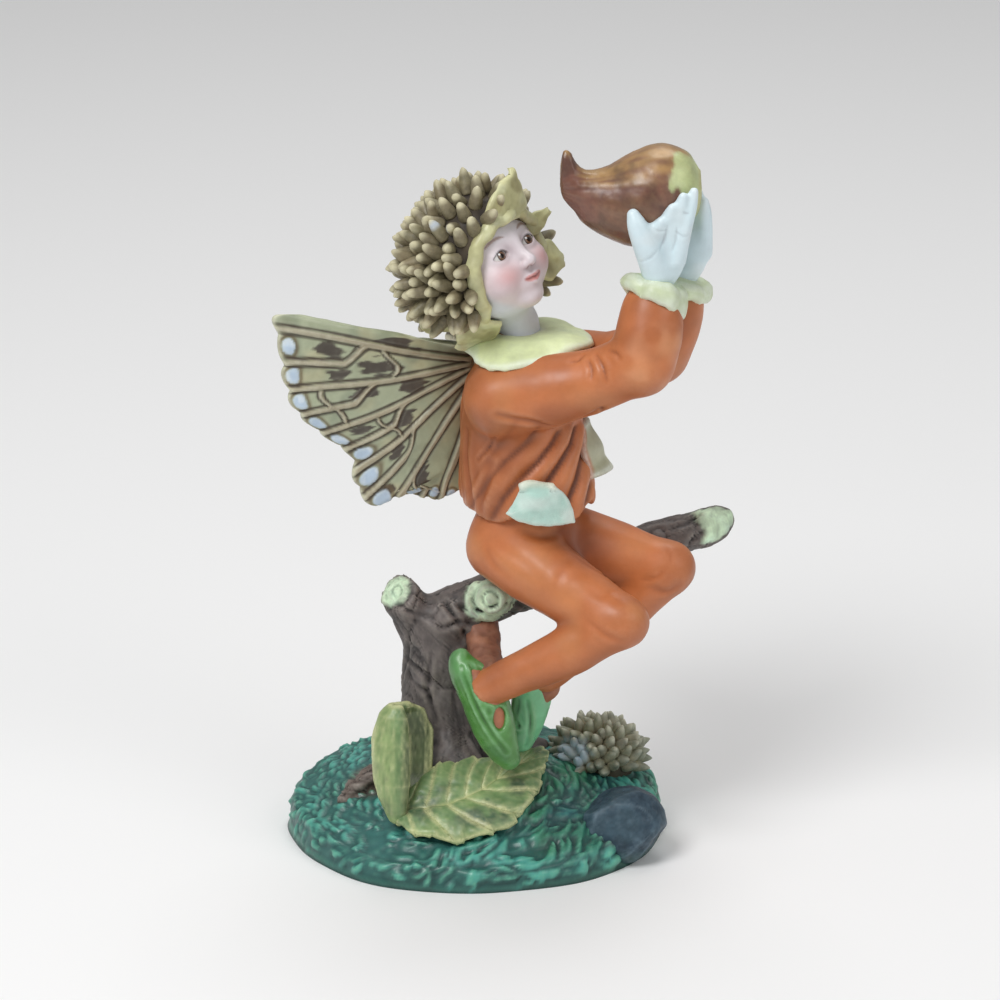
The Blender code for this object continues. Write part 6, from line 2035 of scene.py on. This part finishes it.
def make_hood():
    columns, rows = 130, 86
    u, v = np.meshgrid(2 * np.pi * np.arange(columns) / columns, np.pi * (np.arange(rows) + 0.5) / rows)
    way = (
        (np.sin(v) * np.cos(u))[..., None] * HEAD_LEFT + (np.sin(v) * np.sin(u))[..., None] * CROWN
        - np.cos(v)[..., None] * FACE
    )
    flat = way.reshape(-1, 3)
    outside = outside_opening(flat)
    reach = (
        hood_reach(flat) * step_up(-6, 0, outside)
        + (skull_reach(flat) - 3.2) * (1 - step_up(-6, 0, outside))
    )
    reach = reach - 0.15 + 0.14 * grain(flat * 9, 1.0, 3)
    rings = HEAD + (flat * reach[:, None]).reshape(rows, columns, 3)
    points, faces = loft(rings, HEAD - FACE * hood_reach(-FACE[None])[0], HEAD + FACE * (HEAD_DEPTH - 3.2))
    # the shell is the burr's dark brown, painted nearly black for the shade deep between the spines
    paint = mix(
        flat_paint(points, (0.022, 0.015, 0.010)), (0.05, 0.036, 0.020),
        step_up(0, 0.6, layered_grain(points, 1.5, 2, 5)),
    )
    piece("hood_shell", points, faces, SHELL_PAINT, paint, reach=0.8)

    ways = spread_directions(330)
    ball = HOOD_CENTRE + ways * HOOD_RADIUS
    aims = unit(ball - HEAD)
    outside = outside_opening(aims)
    bare = np.where((aims @ HEAD_LEFT > 0) & (aims @ CROWN > 0), 18.0, 7.0)
    keep = (outside > bare) & (aims[:, 2] > -0.80)
    # spines keep clear of the lobes that grow from the hood
    ways, aims = ways[keep], aims[keep]
    roots = HEAD + aims * (hood_reach(aims) - 0.4)[:, None]
    leaning = unit(ways + aims + 0.22 * UP)
    points, faces, along, tone = grow_spines(
        roots, leaning, length=3.1 * MM, radius=0.94 * MM, tip_share=0.46, swell=0.20, lean=0.42,
        length_spread=0.16, seed=8, material=SPINE_PAINT,
    )
    points = points + (0.10 * grain(points, 0.8, 12))[:, None] * unit(points - HEAD)
    paint = spine_colours(
        points, along, tone, (0.018, 0.013, 0.009), (0.105, 0.085, 0.054), (0.66, 0.62, 0.42), 9,
    )
    # a pale blue painted highlight on the spine tips round one spot
    pale = touched(points, normals_of(points, faces), 440, 230)
    paint = mix(paint, (0.42, 0.50, 0.60), step_up(1.9, 1.1, apart(points, pale)) * step_up(0.55, 0.8, along))
    piece("hood_spines", points, faces, SPINE_PAINT, paint, reach=0.55)

    turns = np.linspace(-150, 132, 200)
    ways = toward(turns, opening_angle(turns) + 2.0 + 0.8 * np.sin(np.radians(turns) * 5))
    line = HEAD + ways * (skull_reach(ways) + 0.25 + 0.15 * np.sin(np.radians(turns) * 11))[:, None]
    tangent = unit(np.gradient(line, axis=0))
    out = unit(ways - tangent * (ways * tangent).sum(1)[:, None])
    side = np.cross(tangent, out)
    a = 2 * np.pi * np.arange(32) / 32
    ends = np.sqrt(np.clip(1 - (np.abs(np.linspace(-1, 1, 200)) ** 14), 0.02, 1))
    wide = 1.05 * ends * (1 + 0.07 * np.sin(np.radians(turns) * 9 + 1))
    tall = 0.80 * ends
    rings = (
        line[:, None] + side[:, None] * (wide[:, None] * np.cos(a))[..., None]
        + out[:, None] * (tall[:, None] * np.sin(a))[..., None]
    )
    points, faces = loft(rings, line[0] - tangent[0] * 0.2, line[-1] + tangent[-1] * 0.2)
    faces = outward(points, faces)
    normals = normals_of(points, faces)
    points = raised(points, normals, 0.12 * layered_grain(points, 1.5, 2, 21))
    piece("hood_rim", points, faces, LOBE_PAINT, lobe_colours(points, 22), reach=0.5)


def lobe_colours(points, seed):
    paint = flat_paint(points, (0.48, 0.47, 0.25))
    paint = mix(paint, (0.34, 0.31, 0.15), step_up(0.0, 0.6, layered_grain(points, 2.0, 2, seed)) * 0.8)
    return mix(paint, (0.60, 0.61, 0.38), step_up(0.1, 0.6, grain(points, 1.8, seed + 4)) * 0.7)


LOBES = (
    (8, 34, 0.75, 0.6, 4.6, 7.8, 6.0, 1.7), (76, 50, 0.9, 0.2, 2.6, 3.0, 3.0, 0.0),
    (120, 64, 0.9, 0.2, 2.6, 6.2, 3.0, 0.0), (-146, 94, 0.4, 0.9, 5.6, 6.4, 3.0, 0.0),
    (-124, 120, 0.5, 0.6, 5.6, 5.6, 3.0, 0.0),
)


def make_lobes():
    parts = []
    for k, (turn, angle, rise, lean, length, width, square, skew) in enumerate(LOBES):
        way = toward(np.array(float(turn)), np.array(float(angle)))
        along = unit(toward(np.array(float(turn)), np.array(angle + 90.0)) * lean + way * rise)
        root = HEAD + way * (skull_reach(way[None])[0] + 0.5) - along * 1.4
        across = np.cross(along, way)
        across = unit(across - along * (across @ along))
        out = np.cross(along, across)
        out = out if out @ (root - HEAD) > 0 else -out
        s, v = np.meshgrid(np.linspace(0, 1, 44), np.linspace(-1, 1, 37), indexing="ij")
        half = 0.5 * width * (0.62 + 0.38 * np.sin(np.pi * np.minimum(1, s * 1.25)))
        half = half * np.sqrt(np.clip(1 - s ** square, 0, 1))
        half = half * (1 + 0.07 * np.sin(9 * s + k))
        curl = -0.05 * width * v ** 2 + 0.14 * np.sin(5 * s + 2 * v + k) * np.abs(v)
        middle = (
            root + along * (s * (length + 1.4) + 0.5 * skew * s ** 3 * v)[..., None]
            + across * (v * half + skew * s ** 3)[..., None]
            + out * (curl + 0.9 * s * (1 - s))[..., None]
        )
        parts.append(thick_sheet(middle, 1.0, edge=4))
    points, faces = merged(parts)
    normals = normals_of(points, faces)
    points = raised(points, normals, 0.08 * layered_grain(points, 1.2, 2, 41))
    piece("hood_lobes", points, faces, LOBE_PAINT, lobe_colours(points, 44), reach=0.5)


# Figure: wings

WING_PAINT = painted(
    "wing_paint", (0.060, 0.042, 0.026), (0.70, 0.70, 0.54), wash_amount=0.8, brush_amount=0.4,
    mottle=0.12, mottle_size=300.0, roughness=0.40, grain_amount=0.3, bump=0.22, coat=0.15,
)
WING_EDGE = (
    (0.55, 0.545), (0.97, 0.665), (0.97, 0.500), (0.945, 0.300), (0.89, 0.150), (0.77, 0.020),
    (0.60, -0.130), (0.575, -0.270), (0.49, -0.420), (0.41, -0.375), (0.28, -0.375), (0.12, -0.430),
)
WING_SPAN, WING_INSET = 26.0, 2.2
WING_FOCUS = (-0.06, 0.30)
# each vein: its slope in degrees, and the slope of the vein it forks from
WING_VEINS = (
    (15.0, 15.0), (6.0, 15.0), (-2.0, -2.0), (-10.0, -2.0), (-18.0, -18.0), (-27.0, -18.0),
    (-36.0, -36.0), (-45.0, -36.0), (-54.0, -54.0), (-63.0, -54.0), (-71.0, -71.0),
)
# each blotch: slope, share of the reach, half length and half width in millimetres
WING_BLOTCHES = (
    (18.0, 0.40, 2.2, 0.9), (10.5, 0.74, 1.7, 1.0), (5.5, 0.50, 2.4, 1.1), (2.0, 0.72, 1.3, 0.8),
    (-6.0, 0.60, 1.7, 0.8), (-10.0, 0.34, 1.8, 1.3), (-22.0, 0.74, 1.8, 0.8), (-27.0, 0.46, 2.3, 1.2),
    (-40.0, 0.66, 1.5, 0.9), (-49.0, 0.80, 1.5, 0.8), (-58.0, 0.52, 2.0, 1.3),
)


def make_wing(name, yaw, turn):
    """One open wing with forked raised veins, ragged dark blotches and pearly spots at its margin."""
    rows, columns = 196, 101
    way, normal = heading(yaw), heading(yaw + 90.0 * turn)
    spine = tunic_point(0.55, math.pi) - BODY_FORWARD * 0.2
    root = spine + heading(BODY_YAW - 90.0 * turn) * 2.2 - way * WING_INSET - UP * 1.3
    t, s = np.meshgrid(np.linspace(0, 1, rows), np.linspace(0, 1, columns) ** 0.9, indexing="ij")
    edge = along_curve(WING_EDGE, np.linspace(0, 1, rows))
    start = 0.40 - 0.76 * t
    slopes = np.degrees(np.arctan2(edge[:, 1] - WING_FOCUS[1], edge[:, 0] - WING_FOCUS[0]))
    bounds = np.array([24.0] + [vein[0] for vein in WING_VEINS] + [-80.0])
    place = np.interp(-slopes, -bounds, np.arange(len(bounds))) % 1.0
    scallop = 1 - 0.030 * ((2 * np.abs(place - 0.5)) ** 2)[:, None] * s ** 5
    out = (WING_INSET / WING_SPAN) * s + edge[:, None, 0] * s * scallop
    height = start + (edge[:, None, 1] * scallop - start) * s
    cup = 0.05 * np.sin(np.pi * s) * np.cos(2.2 * (t - 0.4))
    middle = root + WING_SPAN * (way * out[..., None] + UP * height[..., None] + normal * cup[..., None])
    reach = WING_SPAN * np.hypot(out - WING_FOCUS[0], height - WING_FOCUS[1])
    slope = np.degrees(np.arctan2(height - WING_FOCUS[1], out - WING_FOCUS[0]))
    slope = slope + 2.2 * np.sin(4.2 * s + 0.05 * slope) * (1 - s)
    to_edge = (1 - s) * np.linalg.norm(
        np.gradient(middle, axis=1) / np.gradient(s, axis=1)[..., None], axis=2,
    )
    to_lead = t * np.linalg.norm(np.gradient(middle, axis=0), axis=2) * rows

    def across(angle):
        return np.radians(slope - angle) * reach

    band, outline = np.zeros_like(s), np.zeros_like(s)
    for k, (angle, parent) in enumerate(WING_VEINS):
        fork = 0.46 + 0.09 * math.sin(2.3 * k)
        gap = np.abs(across(parent + (angle - parent) * step_up(fork, fork + 0.17, s)))
        band = np.maximum(band, step_up(0.46, 0.24, gap))
        outline = np.maximum(outline, np.exp(-(((gap - 0.56) / 0.17) ** 2)))
    # short cross veins close the long cells
    for high, low, place in ((15, -2, 0.44), (-18, -36, 0.58), (-54, -71, 0.72), (-2, -18, 0.80)):
        between = step_up(0, 0.8, across(low)) * step_up(0, -0.8, across(high))
        gap = np.abs(s - place + 0.03 * np.sin(0.35 * slope)) * to_edge.max()
        band = np.maximum(band, step_up(0.42, 0.22, gap) * between)
        outline = np.maximum(outline, np.exp(-(((gap - 0.50) / 0.16) ** 2)) * between)
    spots, rings = np.zeros_like(s), np.zeros_like(s)
    for high, low in zip(bounds[1:-1], bounds[2:]):
        half = np.clip(0.5 * np.radians(high - low) * reach - 0.62, 0.35, 1.2)
        long = 1.0 if high > -25 else 1.6
        ring = np.hypot((to_edge - long - 0.45) / long, across(0.5 * (high + low)) / half)
        spots = np.maximum(spots, step_up(1.0, 0.82, ring))
        rings = np.maximum(rings, np.exp(-(((ring - 1.22) / 0.24) ** 2)))
    blotches = np.zeros_like(s)
    ragged = grain(
        np.stack((across(0.0) * 2.6, reach * 0.55, 0 * s), -1).reshape(-1, 3), 1.0, 54,
    ).reshape(s.shape)
    for angle, share, long, wide in WING_BLOTCHES:
        here = np.hypot((s - share) * WING_SPAN * 0.9 / long, across(angle) / wide) + 0.55 * ragged
        blotches = np.maximum(blotches, step_up(1.05, 0.80, here))
    rim = np.exp(-((to_edge / 0.45) ** 2))
    lead = np.exp(-((to_lead / 0.9) ** 2))
    clear = (1 - band) * (1 - spots)
    outline = outline * (1 - band)
    thickness = (
        0.72 * (1.6 - 0.6 * np.minimum(1.0, 3 * s)) + 0.62 * band + 0.75 * lead + 0.25 * rim + 0.30 * spots
        - 0.22 * outline
    )
    points, faces = thick_sheet(middle, thickness, edge=4)
    points = raised(points, normals_of(points, faces), 0.06 * layered_grain(points, 1.6, 2, 51))
    paint = flat_paint(points, (0.38, 0.42, 0.28))
    paint = mix(paint, (0.48, 0.46, 0.28), step_up(0.0, 0.7, grain(points, 3.4, 52)) * 0.8)
    paint = mix(paint, (0.22, 0.26, 0.18), step_up(0.1, 0.7, grain(points, 2.6, 57)) * 0.6)
    paint = mix(
        paint, (0.14, 0.12, 0.075),
        step_up(0.30, 0.0, sheet_values(s) + 0.05 * grain(points, 3.0, 55)) * 0.7,
    )
    for colour, mask in (
        ((0.040, 0.024, 0.020), blotches * clear * 0.93), ((0.33, 0.27, 0.18), band * 0.85),
        ((0.60, 0.60, 0.42), rim * (1 - spots) * 0.8), ((0.13, 0.085, 0.035), rings * clear * 0.8),
        ((0.055, 0.038, 0.026), outline * 0.85), ((0.46, 0.58, 0.72), spots * 0.95),
        ((0.60, 0.66, 0.48), np.clip(lead * 1.4, 0, 1) * 0.95),
    ):
        paint = mix(paint, colour, sheet_values(mask))
    paint = mix(
        paint, (0.70, 0.78, 0.84), sheet_values(spots) * step_up(0.1, 0.6, grain(points, 1.0, 58)) * 0.6,
    )
    piece(name, points, faces, WING_PAINT, paint, reach=0.4)


# Floor, light and camera, in metres

FLOOR_HALF_WIDTH = 4.0
FLOOR_GREY = (0.90, 0.90, 0.90, 1)
LAMP_TARGET = (0.003, 0.0, 0.05)
SKY_STRENGTH = 0.36

def make_floor():
    """A wide pale floor."""
    mesh = bpy.data.meshes.new("backdrop")
    half = FLOOR_HALF_WIDTH
    corners = [(-half, -half, 0), (half, -half, 0), (half, half, 0), (-half, half, 0)]
    mesh.from_pydata(corners, [], [(0, 1, 2, 3)])
    paper = bpy.data.materials.new("backdrop_paper")
    paper.use_nodes = True
    shader = paper.node_tree.nodes["Principled BSDF"]
    shader.inputs["Base Color"].default_value = FLOOR_GREY
    shader.inputs["Roughness"].default_value = 0.85
    mesh.materials.append(paper)
    floor = bpy.data.objects.new("backdrop", mesh)
    bpy.context.scene.collection.objects.link(floor)


def soft_lamp(name, yaw, pitch, distance, width, power):
    """A round soft lamp that looks at the figurine from a heading and a distance."""
    lamp = bpy.data.lights.new(name, "AREA")
    lamp.shape = "DISK"
    lamp.size = width
    lamp.energy = power
    aim = Vector(LAMP_TARGET)
    made = bpy.data.objects.new(name, lamp)
    made.location = aim + Vector(heading(yaw, pitch)) * distance
    made.rotation_euler = (aim - made.location).to_track_quat("-Z", "Y").to_euler()
    bpy.context.scene.collection.objects.link(made)


def light_the_studio():
    world = bpy.data.worlds.new("soft_studio")
    world.use_nodes = True
    bpy.context.scene.world = world
    sky = world.node_tree.nodes["Background"]
    sky.inputs["Color"].default_value = (1.0, 1.0, 1.0, 1)
    sky.inputs["Strength"].default_value = SKY_STRENGTH
    soft_lamp("key_softbox", yaw=-128.0, pitch=50.0, distance=0.62, width=0.30, power=2.1)
    soft_lamp("fill_softbox", yaw=-38.0, pitch=34.0, distance=0.66, width=0.40, power=0.75)
    soft_lamp("top_softbox", yaw=80.0, pitch=66.0, distance=0.60, width=0.36, power=1.0)


def set_camera():
    lens = bpy.data.cameras.new("front_camera")
    lens.sensor_width = SENSOR
    lens.lens = FRONT_LENS
    lens.dof.use_dof = False
    lens.clip_start, lens.clip_end = 0.01, 10.0
    camera = bpy.data.objects.new("front_camera", lens)
    camera.location = Vector(FRONT_EYE * MM)
    camera.rotation_euler = Vector(FRONT_BACK).to_track_quat("Z", "Y").to_euler()
    bpy.context.scene.collection.objects.link(camera)
    bpy.context.scene.camera = camera


bpy.context.scene.view_settings.view_transform = "Standard"
make_floor()
light_the_studio()
set_camera()
make_mound()
make_boulder()
make_ground_burr()
make_tree()
make_lying_leaf()
make_rolled_leaf()
make_trousers()
make_feet()
make_ankle_web()
make_tunic()
make_hem_corner()
make_far_flap()
make_collar()
make_cuffs()
make_hands()
make_nut()
make_head()
make_hood()
make_lobes()
make_wing("near_wing", 200.0, 1)
make_wing("far_wing", 100.0, -1)
